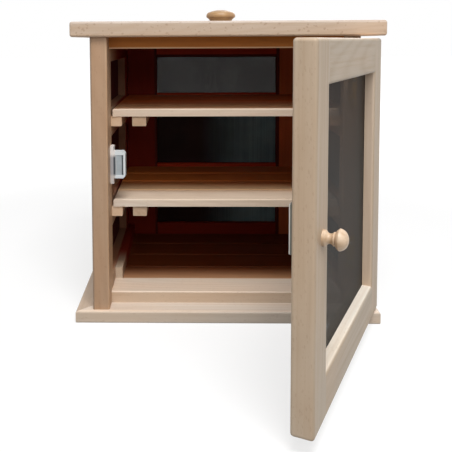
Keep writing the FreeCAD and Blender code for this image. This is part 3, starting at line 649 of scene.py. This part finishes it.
def wear(node: str, finish: Finish) -> None:
    """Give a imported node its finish.

    Args:
        node: The node's name.
        finish: The finish to put in all its material slots.
    """
    made = finish.material(node + "_finish")
    piece = frame["nodes"][node]
    if not piece.material_slots:
        piece.data.materials.append(made)
    for slot in piece.material_slots:
        slot.material = made
    LOG.info("finish  %s", node)


def grain_of(part: str, lying: Grain) -> Grain:
    """Return how the grain of a frame's part runs: a stile's upwards and a rail's lying."""
    return Grain.UPWARDS if part.endswith("stile") else lying


def log_place(start: float, part: str, step: float = 0.7) -> float:
    """Return the place in the log that a part is cut from, by its name's length."""
    return start + len(part) * step


@dataclass(frozen=True)
class Window:
    """One opening that the cloth covers, as far as the cloth reaches behind the frame."""

    left: float
    right: float
    low: float
    high: float


@dataclass(frozen=True)
class WireCloth:
    """A sheet of woven wire, modelled upright in the plane of x and z."""

    name: str
    node: str
    body: str
    finish: Finish
    windows: Sequence[Window]
    place: Matrix
    wires: Sequence[float]
    thickness: float
    pitch: float = 0.00095
    weft: float = 1.0

    WIRE_SIDES: ClassVar[int] = 6

    def threads(self, cloth: bmesh.types.BMesh, wire: float, start: Vector, step: Vector,
                length: float, upright: bool, count: int) -> None:
        """Lay one row of parallel wires.

        Args:
            cloth: The mesh that takes them.
            wire: The width of each wire.
            start: The middle of the first wire.
            step: The way from each wire to the next.
            length: The length of each.
            upright: Whether they stand or lie.
            count: How many there are.
        """
        # A hexagon is as wide from flat to flat as its radius times the root of three.
        radius = wire / math.sqrt(3.0)
        turn = Matrix.Identity(4) if upright else Matrix.Rotation(QUARTER_TURN, 4, "Y")
        flat = Matrix.Diagonal((1.0, self.thickness / (2.0 * radius), 1.0, 1.0))
        shape = Matrix.Translation(start) @ turn @ flat
        made = bmesh.ops.create_cone(cloth, cap_ends=True, segments=self.WIRE_SIDES,
                                     radius1=radius, radius2=radius, depth=length,
                                     matrix=shape)
        points = made["verts"]
        lines = list({line for point in points for line in point.link_edges})
        faces = list({face for point in points for face in point.link_faces})
        bmesh.ops.spin(cloth, geom=points + lines + faces, cent=(0.0, 0.0, 0.0),
                       axis=(0.0, 0.0, 1.0), dvec=step, angle=0.0, steps=count - 1,
                       use_duplicate=True)

    def weave(self) -> None:
        """Make the cloth of all its windows as one piece, in place of the plain sheet."""
        cloth = bmesh.new()
        for window, wire in zip(self.windows, self.wires):
            wide, tall = window.right - window.left, window.high - window.low
            middle = ((window.left + window.right) / 2.0, (window.low + window.high) / 2.0)
            across, up = int(wide / self.pitch), int(tall / self.pitch)
            edge_x = middle[0] - (across - 1) * self.pitch / 2.0
            edge_z = middle[1] - (up - 1) * self.pitch / 2.0
            back = self.thickness / 2.0
            self.threads(cloth, wire, Vector((edge_x, -back, middle[1])),
                         Vector((self.pitch, 0.0, 0.0)), tall, True, across)
            self.threads(cloth, wire * self.weft, Vector((middle[0], back, edge_z)),
                         Vector((0.0, 0.0, self.pitch)), wide, False, up)
        bmesh.ops.transform(cloth, matrix=self.place, verts=cloth.verts)
        bmesh.ops.recalc_face_normals(cloth, faces=cloth.faces)
        mesh = bpy.data.meshes.new(self.name)
        cloth.to_mesh(mesh)
        cloth.free()
        piece = bpy.data.objects.new(self.name, mesh)
        bpy.context.scene.collection.objects.link(piece)
        mesh.materials.append(self.finish.material(self.name + "_finish"))
        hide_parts(self.node)
        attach(piece, self.body)
        LOG.info("cloth   %s: %d faces", self.name, len(mesh.polygons))


@dataclass
class Base:
    """The mitred base frame, the sill and the floor, which darkens towards the back in painted
    shade.
    """

    rail: Triple = (0.585, 0.490, 0.400)
    side_rail: Triple = (0.500, 0.395, 0.305)
    rail_top_painted_light: Triple = (0.710, 0.600, 0.505)
    front_arris_painted_highlight: Triple = (0.870, 0.745, 0.635)
    sill: Triple = (0.590, 0.460, 0.345)
    sill_top_painted_light: Triple = (0.740, 0.620, 0.515)
    floor: Triple = (0.560, 0.300, 0.160)
    floor_back_painted_shade: Triple = (0.190, 0.045, 0.011)
    boards: Boards = Boards(Axis.Y, -0.0765, 0.0515)
    at_top: Plane = Plane(Axis.Z, 0.01365, 0.0140)
    at_front: Plane = Plane(Axis.Y, -0.1405, -0.1440)
    at_sill_top: Plane = Plane(Axis.Z, 0.0262, 0.0274)
    at_floor_back: Plane = Plane(Axis.Y, -0.078, -0.020)
    at_kerb_middle: Plane = Plane(Axis.Y, -0.074, -0.050)
    at_kerb_back: Plane = Plane(Axis.Y, -0.050, 0.0)

    def build(self) -> None:
        """Finish the base, the sill, the floor boards and the kerbs beside them."""
        # Painted light: the base rails' top faces are paler than their fronts, with a painted
        # highlight along the front arris.
        top = Fade(self.at_top, self.rail_top_painted_light, Fade(self.at_front, self.front_arris_painted_highlight))
        wear("base_front_rail", Beech(self.rail, Grain.SIDEWAYS, 1.0, fade=top))
        wear("base_back_rail", Beech(self.rail, Grain.SIDEWAYS, 2.0, fade=top))
        wear("base_left_rail", Beech(self.side_rail, Grain.BACKWARDS, 3.0))
        wear("base_right_rail", Beech(self.rail, Grain.BACKWARDS, 4.0, fade=top))
        # Painted light: the sill's top face is paler than its front.
        wear("sill", Beech(self.sill, Grain.SIDEWAYS, 5.0,
                           fade=Fade(self.at_sill_top, self.sill_top_painted_light)))
        # Painted shade: the floor boards darken towards the back.
        wear("floor_boards", Beech(self.floor, Grain.SIDEWAYS, 6.0, sheen=SHADY_SHEEN,
                                   boards=self.boards,
                                   fade=Fade(self.at_floor_back, self.floor_back_painted_shade)))
        # Painted shade: the kerbs darken towards the back in two steps.
        kerb = Fade(self.at_kerb_middle, PAINTED_WARM_SHADE_WOOD, Fade(self.at_kerb_back, PAINTED_DEEP_SHADE_WOOD))
        wear("floor_kerbs", Beech(PLAIN_WOOD, Grain.BACKWARDS, 7.0, sheen=SHADY_SHEEN,
                                  fade=kerb))


@dataclass
class Walls:
    """The frames of both sides and the back, plain outside and darker inside in painted shade."""

    post: Triple = (0.422, 0.276, 0.175)
    post_corner_painted_shade: Triple = (0.300, 0.215, 0.152)
    post_inside_painted_shade: Triple = (0.510, 0.335, 0.208)
    # Painted shade on the reveals of the side windows.
    reveal: Triple = (0.350, 0.170, 0.095)
    rim_painted_shadow: Triple = (0.110, 0.010, 0.004)
    # Painted deep red shade for the inner faces at the back of the right side and of the back
    # frame.
    inner_right_painted_shade: Triple = (0.640, 0.155, 0.048)
    inner_high_painted_shade: Triple = (0.500, 0.042, 0.008)
    back_sheen: float = 0.1
    at_post_front: Plane = Plane(Axis.Y, -0.1408, -0.1396)
    at_post_corner: Plane = Plane(Axis.X, -0.1570, -0.1588)
    at_post_inside: Plane = Plane(Axis.X, -0.1425, -0.1408)
    at_side_end: Plane = Plane(Axis.Y, 0.1412, 0.1398)
    at_side_reveal: Plane = Plane(Axis.X, 0.1545, 0.1525)
    at_side_inside: Plane = Plane(Axis.X, 0.1425, 0.1405)
    at_side_dark: Plane = Plane(Axis.Y, -0.105, 0.0)
    at_back_inside: Plane = Plane(Axis.Y, 0.1375, 0.1355)
    at_left_rim: Plane = Plane(Axis.X, -0.0990, -0.0970)
    at_right_rim: Plane = Plane(Axis.X, 0.1000, 0.0980)
    at_top_rim: Plane = Plane(Axis.Z, 0.3140, 0.3120)

    def dress_post(self, name: str, seed: float) -> None:
        """Finish a front stile: warm in front, with painted shade at its corner and warmer
        inside.

        Args:
            name: The stile's node.
            seed: The place in the log.
        """
        # Painted warm shade on the inner face, and painted shade along the outer front corner.
        inside = Fade(self.at_post_inside, self.post_inside_painted_shade)
        front = replace(inside, nearer=Fade(self.at_post_corner, self.post_corner_painted_shade))
        wear(name, Beech(self.post, Grain.UPWARDS, seed,
                         fade=Fade(self.at_post_front, PLAIN_WOOD, inside, front)))

    def dress_side(self, side: str, sign: float, inner: Triple, seed: float) -> None:
        """Finish the stiles and rails of one side.

        Args:
            side: The side's name.
            sign: -1 on the left and 1 on the right.
            inner: The painted shade of its inner faces at the back.
            seed: The place in the log.
        """
        # Painted shade: warm on the inner faces near the front, deeper towards the back, and on
        # the reveals.
        face = Fade(self.at_side_inside.mirrored(sign), PAINTED_WARM_SHADE_WOOD,
                    Fade(self.at_side_dark, inner))
        inside = Fade(self.at_side_end, PLAIN_WOOD,
                      Fade(self.at_side_reveal.mirrored(sign), self.reveal, face))
        self.dress_post(f"{side}_front_stile", log_place(seed, "front_stile"))
        for part in ("back_stile", "bottom_rail", "lower_mid_rail", "upper_mid_rail",
                     "top_rail"):
            wear(f"{side}_{part}", Beech(PLAIN_WOOD, grain_of(part, Grain.BACKWARDS),
                                         log_place(seed, part), sheen=SHADY_SHEEN,
                                         fade=inside))

    def dress_back(self) -> None:
        """Finish the stiles and rails of the back, which have painted shadow rims on three sides.
        """
        # Painted shade on the inner faces, and painted shadow rims along the window edges.
        for part, inner, rim_painted_shadow in (
                ("left_stile", PAINTED_DEEP_SHADE_WOOD, Fade(self.at_left_rim, self.rim_painted_shadow)),
                ("right_stile", self.inner_right_painted_shade, Fade(self.at_right_rim, self.rim_painted_shadow)),
                ("bottom_rail", PAINTED_DEEP_SHADE_WOOD, None),
                ("lower_mid_rail", self.inner_high_painted_shade, None),
                ("upper_mid_rail", self.inner_high_painted_shade, None),
                ("top_rail", self.inner_high_painted_shade, Fade(self.at_top_rim, self.rim_painted_shadow))):
            wear(f"back_{part}", Beech(PLAIN_WOOD, grain_of(part, Grain.SIDEWAYS),
                                       log_place(31.0, part), sheen=self.back_sheen,
                                       fade=Fade(self.at_back_inside, inner, rim_painted_shadow)))

    def build(self) -> None:
        """Finish the frames and the strips that hold their cloth."""
        self.dress_side("left", -1.0, PAINTED_DEEP_SHADE_WOOD, 11.0)
        self.dress_side("right", 1.0, self.inner_right_painted_shade, 21.0)
        self.dress_back()
        wear("case_beads", Beech(PLAIN_WOOD, Grain.SIDEWAYS, 38.0, sheen=SHADY_SHEEN))


@dataclass
class WallCloth:
    """The woven cloth in the windows of the sides and the back."""

    levels: Sequence[Pair] = ((0.044, 0.104), (0.140, 0.216), (0.252, 0.309))
    lap: float = 0.005
    side_middle: float = 0.1523
    side_ends: Pair = (-0.102, 0.096)
    side_wires: Sequence[float] = (0.00062,) * 3
    side_thickness: float = 0.00015
    back_middle: float = 0.1363
    back_ends: Pair = (-0.094, 0.094)
    back_wires: Sequence[float] = (0.000915, 0.000912, 0.000816)
    back_thickness: float = 0.0003
    wire: Triple = (0.085, 0.092, 0.094)
    side_wire_painted_shade: Triple = (0.080, 0.014, 0.010)
    high_wire: Triple = (0.120, 0.128, 0.125)
    dull_wire_painted_shadow: Triple = (0.026, 0.010, 0.008)
    blue_wire_painted_light: Triple = (0.210, 0.350, 0.390)
    at_left_cloth: Plane = Plane(Axis.X, -0.15225, -0.15221)
    at_middle: Plane = Plane(Axis.X, 0.0, 0.01)
    at_back_cloth: Plane = Plane(Axis.Y, 0.13645, 0.13625)
    at_lower_cloth: Plane = Plane(Axis.Z, 0.240, 0.228)
    at_blue_cloth: Plane = Plane(Axis.X, -0.03, 0.07)

    def windows(self, ends: Pair) -> list[Window]:
        """Return the three windows of a wall, each with its lap behind the frame."""
        return [Window(ends[0] - self.lap, ends[1] + self.lap, low - self.lap, high + self.lap)
                for low, high in self.levels]

    def weave_sides(self) -> None:
        """Weave the cloth of the sides, with painted warm shade on the left one's inner face."""
        finish = Wire(self.wire, fade=Fade(self.at_left_cloth, self.side_wire_painted_shade,
                                           Fade(self.at_middle, self.wire)))
        turn = Matrix.Rotation(QUARTER_TURN, 4, "Z")
        for side, sign in (("left", -1.0), ("right", 1.0)):
            place = Matrix.Translation((sign * self.side_middle, 0.0, 0.0)) @ turn
            WireCloth(f"{side}_wire_cloth", f"{side}_mesh", "case", finish,
                      self.windows(self.side_ends), place, self.side_wires,
                      self.side_thickness).weave()

    def weave_back(self) -> None:
        """Weave the cloth of the back, painted light inside, with a painted shadow at the lower
        left.
        """
        # Inside, the upper window's wires are lighter as painted light; below, a painted shadow
        # at the left turns to bluish painted light at the right.
        lower = Fade(self.at_lower_cloth, self.dull_wire_painted_shadow,
                     Fade(self.at_blue_cloth, self.blue_wire_painted_light))
        finish = Wire(self.wire, fade=Fade(self.at_back_cloth, self.high_wire, lower))
        WireCloth("back_wire_cloth", "back_mesh", "case", finish,
                  self.windows(self.back_ends),
                  Matrix.Translation((0.0, self.back_middle, 0.0)), self.back_wires,
                  self.back_thickness).weave()

    def build(self) -> None:
        """Weave the three cloths."""
        self.weave_sides()
        self.weave_back()


@dataclass
class Top:
    """The top board with its carrying knob, and the rail under it."""

    low_arris: Triple = (0.680, 0.490, 0.345)
    board: Triple = (0.550, 0.410, 0.300)
    high_arris: Triple = (0.510, 0.410, 0.335)
    # Painted shade of the rail under the board's overhang, and a painted highlight on its lower
    # arris.
    rail: Triple = (0.460, 0.158, 0.025)
    rail_arris_painted_highlight: Triple = (0.800, 0.540, 0.340)
    knob: Triple = (0.370, 0.225, 0.102)
    fleck: float = 0.36
    fleck_cell: Pair = (0.0040, 0.0034)
    fleck_share: float = 0.96
    at_edge: Plane = Plane(Axis.Z, 0.3412, 0.3426)
    at_high_arris: Plane = Plane(Axis.Z, 0.3536, 0.3552)
    at_rail_arris: Plane = Plane(Axis.Z, 0.3272, 0.3258)

    def build(self) -> None:
        """Finish the board, the rail and the knob."""
        edge = Fade(self.at_edge, self.board, Fade(self.at_high_arris, self.high_arris))
        wear("top_board", Beech(self.low_arris, Grain.SIDEWAYS, 41.0, fleck=self.fleck,
                                fleck_cell=self.fleck_cell, fleck_share=self.fleck_share,
                                fade=edge))
        wear("front_top_rail", Beech(self.rail, Grain.SIDEWAYS, 42.0, sheen=SHADY_SHEEN,
                                     fade=Fade(self.at_rail_arris, self.rail_arris_painted_highlight)))
        wear("top_knob", TurnedWood(self.knob, Grain.UPWARDS, 0.8))


@dataclass
class Runners:
    """The four strips that the shelves slide on."""

    colour: Triple = (0.680, 0.480, 0.325)
    at_back: Plane = Plane(Axis.Y, -0.095, -0.020)

    def build(self) -> None:
        """Finish the strips, which darken towards the back in painted shade."""
        for level, seed in (("upper", 51.0), ("lower", 54.0)):
            for side in ("left", "right"):
                wear(f"{level}_{side}_runner",
                     Beech(self.colour, Grain.BACKWARDS, log_place(seed, side, 1.0),
                           sheen=SHADY_SHEEN, fade=Fade(self.at_back, PAINTED_DEEP_SHADE_WOOD)))


@dataclass
class Catch:
    """The magnetic catch on the latch post, with its magnet between two pole plates."""

    # Painted light and shade on one plastic: a shaded flange, paler ends with a painted highlight
    # at the top, and a painted shadow beside the body.
    low_end: Triple = (0.58, 0.54, 0.51)
    flange: Triple = (0.39, 0.38, 0.39)
    high_end_painted_highlight: Triple = (0.84, 0.80, 0.77)
    body: Triple = (0.72, 0.77, 0.79)
    gap_painted_shadow: Triple = (0.05, 0.06, 0.07)
    left_plate_painted_light: Triple = (0.48, 0.51, 0.53)
    right_plate_painted_shade: Triple = (0.07, 0.08, 0.09)
    magnet: Triple = (0.42, 0.47, 0.50)
    at_flange: Plane = Plane(Axis.Z, 0.1700, 0.1740)
    at_high_end: Plane = Plane(Axis.Z, 0.1925, 0.1985)
    at_body: Plane = Plane(Axis.X, -0.1349, -0.1339)
    at_gap: Plane = Plane(Axis.X, -0.1368, -0.1357)
    past_gap: Plane = Plane(Axis.X, -0.1342, -0.1337)
    at_right_plate: Plane = Plane(Axis.X, -0.1300, -0.1280)

    def build(self) -> None:
        """Finish the catch: a flange with two pale ends, and a painted shadow beside the body."""
        body = Fade(self.at_body, self.body)
        gap_painted_shadow = Fade(self.at_gap, self.gap_painted_shadow, Fade(self.past_gap, self.body))
        skin = Fade(self.at_flange, self.flange,
                    Fade(self.at_high_end, self.high_end_painted_highlight, body, gap_painted_shadow), body)
        wear("catch_case", Moulding(self.low_end, skin))
        # Painted light on the left pole plate and painted shade on the right one.
        wear("catch_pole_plates", Metal(self.left_plate_painted_light, metallic=0.4, rough=0.5,
                                        fade=Fade(self.at_right_plate, self.right_plate_painted_shade)))
        wear("catch_magnet", Metal(self.magnet, metallic=0.35, rough=0.5))


@dataclass
class Fittings:
    """The hinges' case leaves and pins, and the screws in the case."""

    leaf: Metal = BRASS
    pin: Metal = PIN_BRASS
    screw: Metal = SCREW_STEEL

    def build(self) -> None:
        """Finish the fittings."""
        wear("hinge_case_leaves", self.leaf)
        wear("hinge_pins", self.pin)
        wear("wood_screws", self.screw)
        wear("case_small_screws", self.screw)


@dataclass
class Shelf:
    """One slatted shelf that slides on its runners, pale in front and in reddish painted shade
    behind.
    """

    level: str
    seed: float
    front: Triple
    middle: Triple
    back: Triple
    at_middle: Plane
    at_back: Plane
    batten: Triple = (0.520, 0.375, 0.265)
    batten_back_painted_shade: Triple = (0.420, 0.185, 0.080)
    at_batten_back: Plane = Plane(Axis.Y, -0.090, 0.000)
    slats: Boards = Boards(Axis.Y, -0.109, 0.054)

    def build(self) -> None:
        """Finish the slats and the battens under them."""
        # Painted shade: the slats and battens darken to red-brown towards the back.
        inward = Fade(self.at_middle, self.middle, Fade(self.at_back, self.back))
        wear(f"{self.level}_shelf_slats",
             Beech(self.front, Grain.SIDEWAYS, self.seed, sheen=SHADY_SHEEN,
                   boards=self.slats, fade=inward))
        wear(f"{self.level}_shelf_battens",
             Beech(self.batten, Grain.BACKWARDS, self.seed + 1.0, sheen=SHADY_SHEEN,
                   fade=Fade(self.at_batten_back, self.batten_back_painted_shade)))


# The middle and back colours of each shelf are painted shade.
UPPER_SHELF = Shelf("upper", 71.0, front=(0.800, 0.655, 0.535), middle=(0.450, 0.230, 0.120),
                    back=(0.480, 0.105, 0.022), at_middle=Plane(Axis.Y, -0.1058, -0.1020),
                    at_back=Plane(Axis.Y, -0.075, -0.010))
LOWER_SHELF = Shelf("lower", 75.0, front=(0.745, 0.635, 0.530), middle=(0.600, 0.390, 0.230),
                    back=(0.560, 0.170, 0.035), at_middle=Plane(Axis.Y, -0.080, -0.050),
                    at_back=Plane(Axis.Y, -0.050, 0.000))


@dataclass
class Door:
    """The mesh door, standing open on its hinges, with its knob and strike plate.

    Its planes lie as they do when it is shut, with the hinge line at the origin.
    """

    frame: Triple = (0.440, 0.355, 0.268)
    latch_edge: Triple = (0.500, 0.395, 0.295)
    reveal: Triple = (0.615, 0.500, 0.395)
    ledge_painted_light: Triple = (0.860, 0.770, 0.660)
    rear: Triple = (0.490, 0.390, 0.290)
    knob: Triple = (0.640, 0.505, 0.375)
    plate_side_painted_shadow: Triple = (0.100, 0.100, 0.080)
    plate: Triple = (0.560, 0.530, 0.490)
    growth: float = 0.12
    strong_growth: float = 0.30
    sheen: float = 0.25
    figure: Pattern = Pattern(1.8, 9.0, 1.0, 0.3)
    at_edge: Plane = Plane(Axis.Y, -0.0206, -0.0188)
    at_rear: Plane = Plane(Axis.Y, -0.0032, -0.0016)
    at_plate: Plane = Plane(Axis.Y, 0.0003, 0.0010)

    window: Window = Window(-0.2655, -0.0375, 0.0485, 0.3025)
    cloth_middle: float = -0.0097
    wires: Sequence[float] = (0.00046,)
    weft: float = 1.56
    thickness: float = 0.00002
    wire: Triple = (0.029, 0.026, 0.023)
    # Painted shade: the door's wires darken towards the top.
    high_wire: Triple = (0.018, 0.009, 0.004)
    at_high_cloth: Plane = Plane(Axis.Z, 0.16, 0.29)

    def dress(self) -> None:
        """Finish the door's frame, knob and metal."""
        rear = Fade(self.at_rear, self.rear)
        for part, edge, behind, growth in (
                ("latch_stile", self.latch_edge, None, self.growth),
                ("hinge_stile", self.reveal, rear, self.growth),
                # Painted light on the bottom rail's edge faces.
                ("bottom_rail", self.ledge_painted_light, rear, self.growth),
                ("top_rail", self.reveal, rear, self.strong_growth)):
            wear(f"door_{part}", Beech(self.frame, grain_of(part, Grain.SIDEWAYS),
                                       log_place(60.0, part, 0.9), Hang.DOOR, growth=growth,
                                       figure=self.figure, sheen=self.sheen,
                                       fade=Fade(self.at_edge, edge, behind)))
        wear("door_beads", Beech(self.frame, Grain.UPWARDS, 66.0, Hang.DOOR))
        wear("door_knob", TurnedWood(self.knob, Grain.BACKWARDS, 2.2, Hang.DOOR))
        wear("door_screws", SCREW_STEEL)
        wear("hinge_door_leaves", replace(BRASS, hang=Hang.DOOR))
        # Painted shadow on the strike plate's side next to the door, with the paler plate face
        # beyond.
        wear("strike_plate", Metal(self.plate_side_painted_shadow, metallic=0.3, rough=0.4, hang=Hang.DOOR,
                                   fade=Fade(self.at_plate, self.plate)))

    def weave(self) -> None:
        """Weave the door's cloth, of thin upright wires and thicker level ones."""
        place = (Matrix.Translation(HINGE_LINE) @ Matrix.Rotation(DOOR_TURN, 4, "Z")
                 @ Matrix.Translation((0.0, self.cloth_middle, 0.0)))
        # Painted shade darkens the wires towards the top.
        finish = Wire(self.wire, Hang.DOOR, Fade(self.at_high_cloth, self.high_wire))
        WireCloth("door_wire_cloth", "door_mesh", "door", finish, (self.window,), place,
                  self.wires, self.thickness, weft=self.weft).weave()

    def build(self) -> None:
        """Dress the door and weave its cloth."""
        self.dress()
        self.weave()


@dataclass(frozen=True)
class Lamp:
    """One square soft lamp aimed at the safe."""

    name: str
    place: Triple
    size: float
    power: float
    aim: Triple = (0.0, 0.0, 0.17)

    def build(self) -> None:
        """Make the lamp."""
        light = bpy.data.lights.new(self.name, "AREA")
        light.shape = "SQUARE"
        light.size = self.size
        light.energy = self.power
        lamp = bpy.data.objects.new(self.name, light)
        way = Vector(self.aim) - Vector(self.place)
        lamp.matrix_world = (Matrix.Translation(self.place)
                             @ way.to_track_quat("-Z", "Y").to_matrix().to_4x4())
        bpy.context.scene.collection.objects.link(lamp)
        LOG.info("lamp    %s", self.name)


@dataclass
class Studio:
    """Floor, world, lamps and camera."""

    ambient: float = 0.22
    floor_colour: Triple = (0.32, 0.32, 0.32)
    near_lift: float = 0.68
    far_lift: float = 1.0
    lift_rise: Pair = (0.5, 1.3)
    floor_size: float = 24.0
    lamps: Sequence[Lamp] = (
        Lamp("key_lamp", (0.12, -1.12, 2.05), size=0.9, power=39.0),
        Lamp("front_lamp", (0.5, -2.2, 1.3), size=1.2, power=14.0),
        Lamp("right_lamp", (2.6, -0.7, 1.2), size=1.4, power=14.0),
        Lamp("left_lamp", (-2.4, -0.6, 1.2), size=1.4, power=12.0),
        Lamp("back_lamp", (1.0, 2.4, 1.6), size=1.4, power=14.0),
    )
    focal: float = 652.3755
    image: float = 452.0
    sensor: float = 36.0
    reach: Pair = (0.02, 60.0)
    centre: Pair = (171.504, 85.935)
    eye: Triple = (-0.0474145, -0.9001309, 0.3333726)
    yaw: float = 0.02285155
    pitch: float = -0.06793728
    roll: float = 0.0050182

    def seen(self, graph: Graph) -> Channel:
        """Return 1 for what the camera sees straight, mirrored or through, otherwise 0."""
        path = [graph.node("ShaderNodeLightPath", {}, {}, f"Is {kind} Ray")
                for kind in ("Camera", "Glossy", "Transmission")]
        return path[0].math("MAXIMUM", path[1]).math("MAXIMUM", path[2])

    def lay_floor(self) -> None:
        """Lay the pale floor, which keeps the safe's shadow."""
        sheet = bmesh.new()
        bmesh.ops.create_grid(sheet, x_segments=1, y_segments=1, size=self.floor_size / 2.0)
        mesh = bpy.data.meshes.new("floor")
        sheet.to_mesh(mesh)
        sheet.free()
        floor = bpy.data.objects.new("floor", mesh)
        bpy.context.scene.collection.objects.link(floor)
        paint = bpy.data.materials.new("floor_paint")
        paint.use_nodes = True
        graph = Graph(paint.node_tree)
        away = graph.node("ShaderNodeVectorMath", {"operation": "LENGTH"},
                          {0: graph.place()}, "Value")
        lift = graph.mix(away.between(*self.lift_rise), (self.near_lift,) * 3,
                         (self.far_lift,) * 3)
        glow = graph.mix(self.seen(graph), BLACK, lift)
        shader = graph.node("ShaderNodeBsdfPrincipled", {}, {
            "Base Color": self.floor_colour, "Roughness": 0.9, "Specular IOR Level": 0.0,
            "Emission Color": glow, "Emission Strength": 1.0})
        graph.node("ShaderNodeOutputMaterial", {}, {"Surface": shader})
        mesh.materials.append(paint)
        LOG.info("floor laid")

    def fill_world(self) -> None:
        """Set a low even light all round, and white where the world itself is seen."""
        world = bpy.data.worlds.new("studio")
        world.use_nodes = True
        bpy.context.scene.world = world
        graph = Graph(world.node_tree)
        soft = graph.node("ShaderNodeBackground", {}, {"Color": WHITE,
                                                       "Strength": self.ambient})
        white = graph.node("ShaderNodeBackground", {}, {"Color": WHITE, "Strength": 1.0})
        sky = graph.node("ShaderNodeMixShader", {}, {0: self.seen(graph), 1: soft, 2: white})
        graph.node("ShaderNodeOutputWorld", {}, {"Surface": sky})

    def set_camera(self) -> None:
        """Set the camera at the height of the top board, a little left of the middle."""
        lens = bpy.data.cameras.new("camera")
        lens.sensor_width = self.sensor
        lens.lens = self.focal / self.image * lens.sensor_width
        lens.shift_x = (self.image / 2.0 - self.centre[0]) / self.image
        lens.shift_y = (self.centre[1] - self.image / 2.0) / self.image
        lens.clip_start, lens.clip_end = self.reach
        camera = bpy.data.objects.new("camera", lens)
        turn = (Matrix.Rotation(self.yaw, 4, "Z") @ Matrix.Rotation(self.pitch, 4, "X")
                @ Matrix.Rotation(self.roll, 4, "Y") @ Matrix.Rotation(QUARTER_TURN, 4, "X"))
        camera.matrix_world = Matrix.Translation(self.eye) @ turn
        bpy.context.scene.collection.objects.link(camera)
        bpy.context.scene.camera = camera
        LOG.info("camera  lens %.2f mm", lens.lens)

    def build(self) -> None:
        """Set up the floor, the light and the camera."""
        bpy.context.scene.view_settings.view_transform = "Standard"
        self.lay_floor()
        self.fill_world()
        for lamp in self.lamps:
            lamp.build()
        self.set_camera()


def main() -> None:
    """Build every sub-assembly and the studio."""
    logging.basicConfig(level=logging.INFO, format="%(message)s")
    Base().build()
    Walls().build()
    WallCloth().build()
    Top().build()
    Runners().build()
    Catch().build()
    Fittings().build()
    UPPER_SHELF.build()
    LOWER_SHELF.build()
    Door().build()
    Studio().build()


if __name__ == "__main__":
    main()
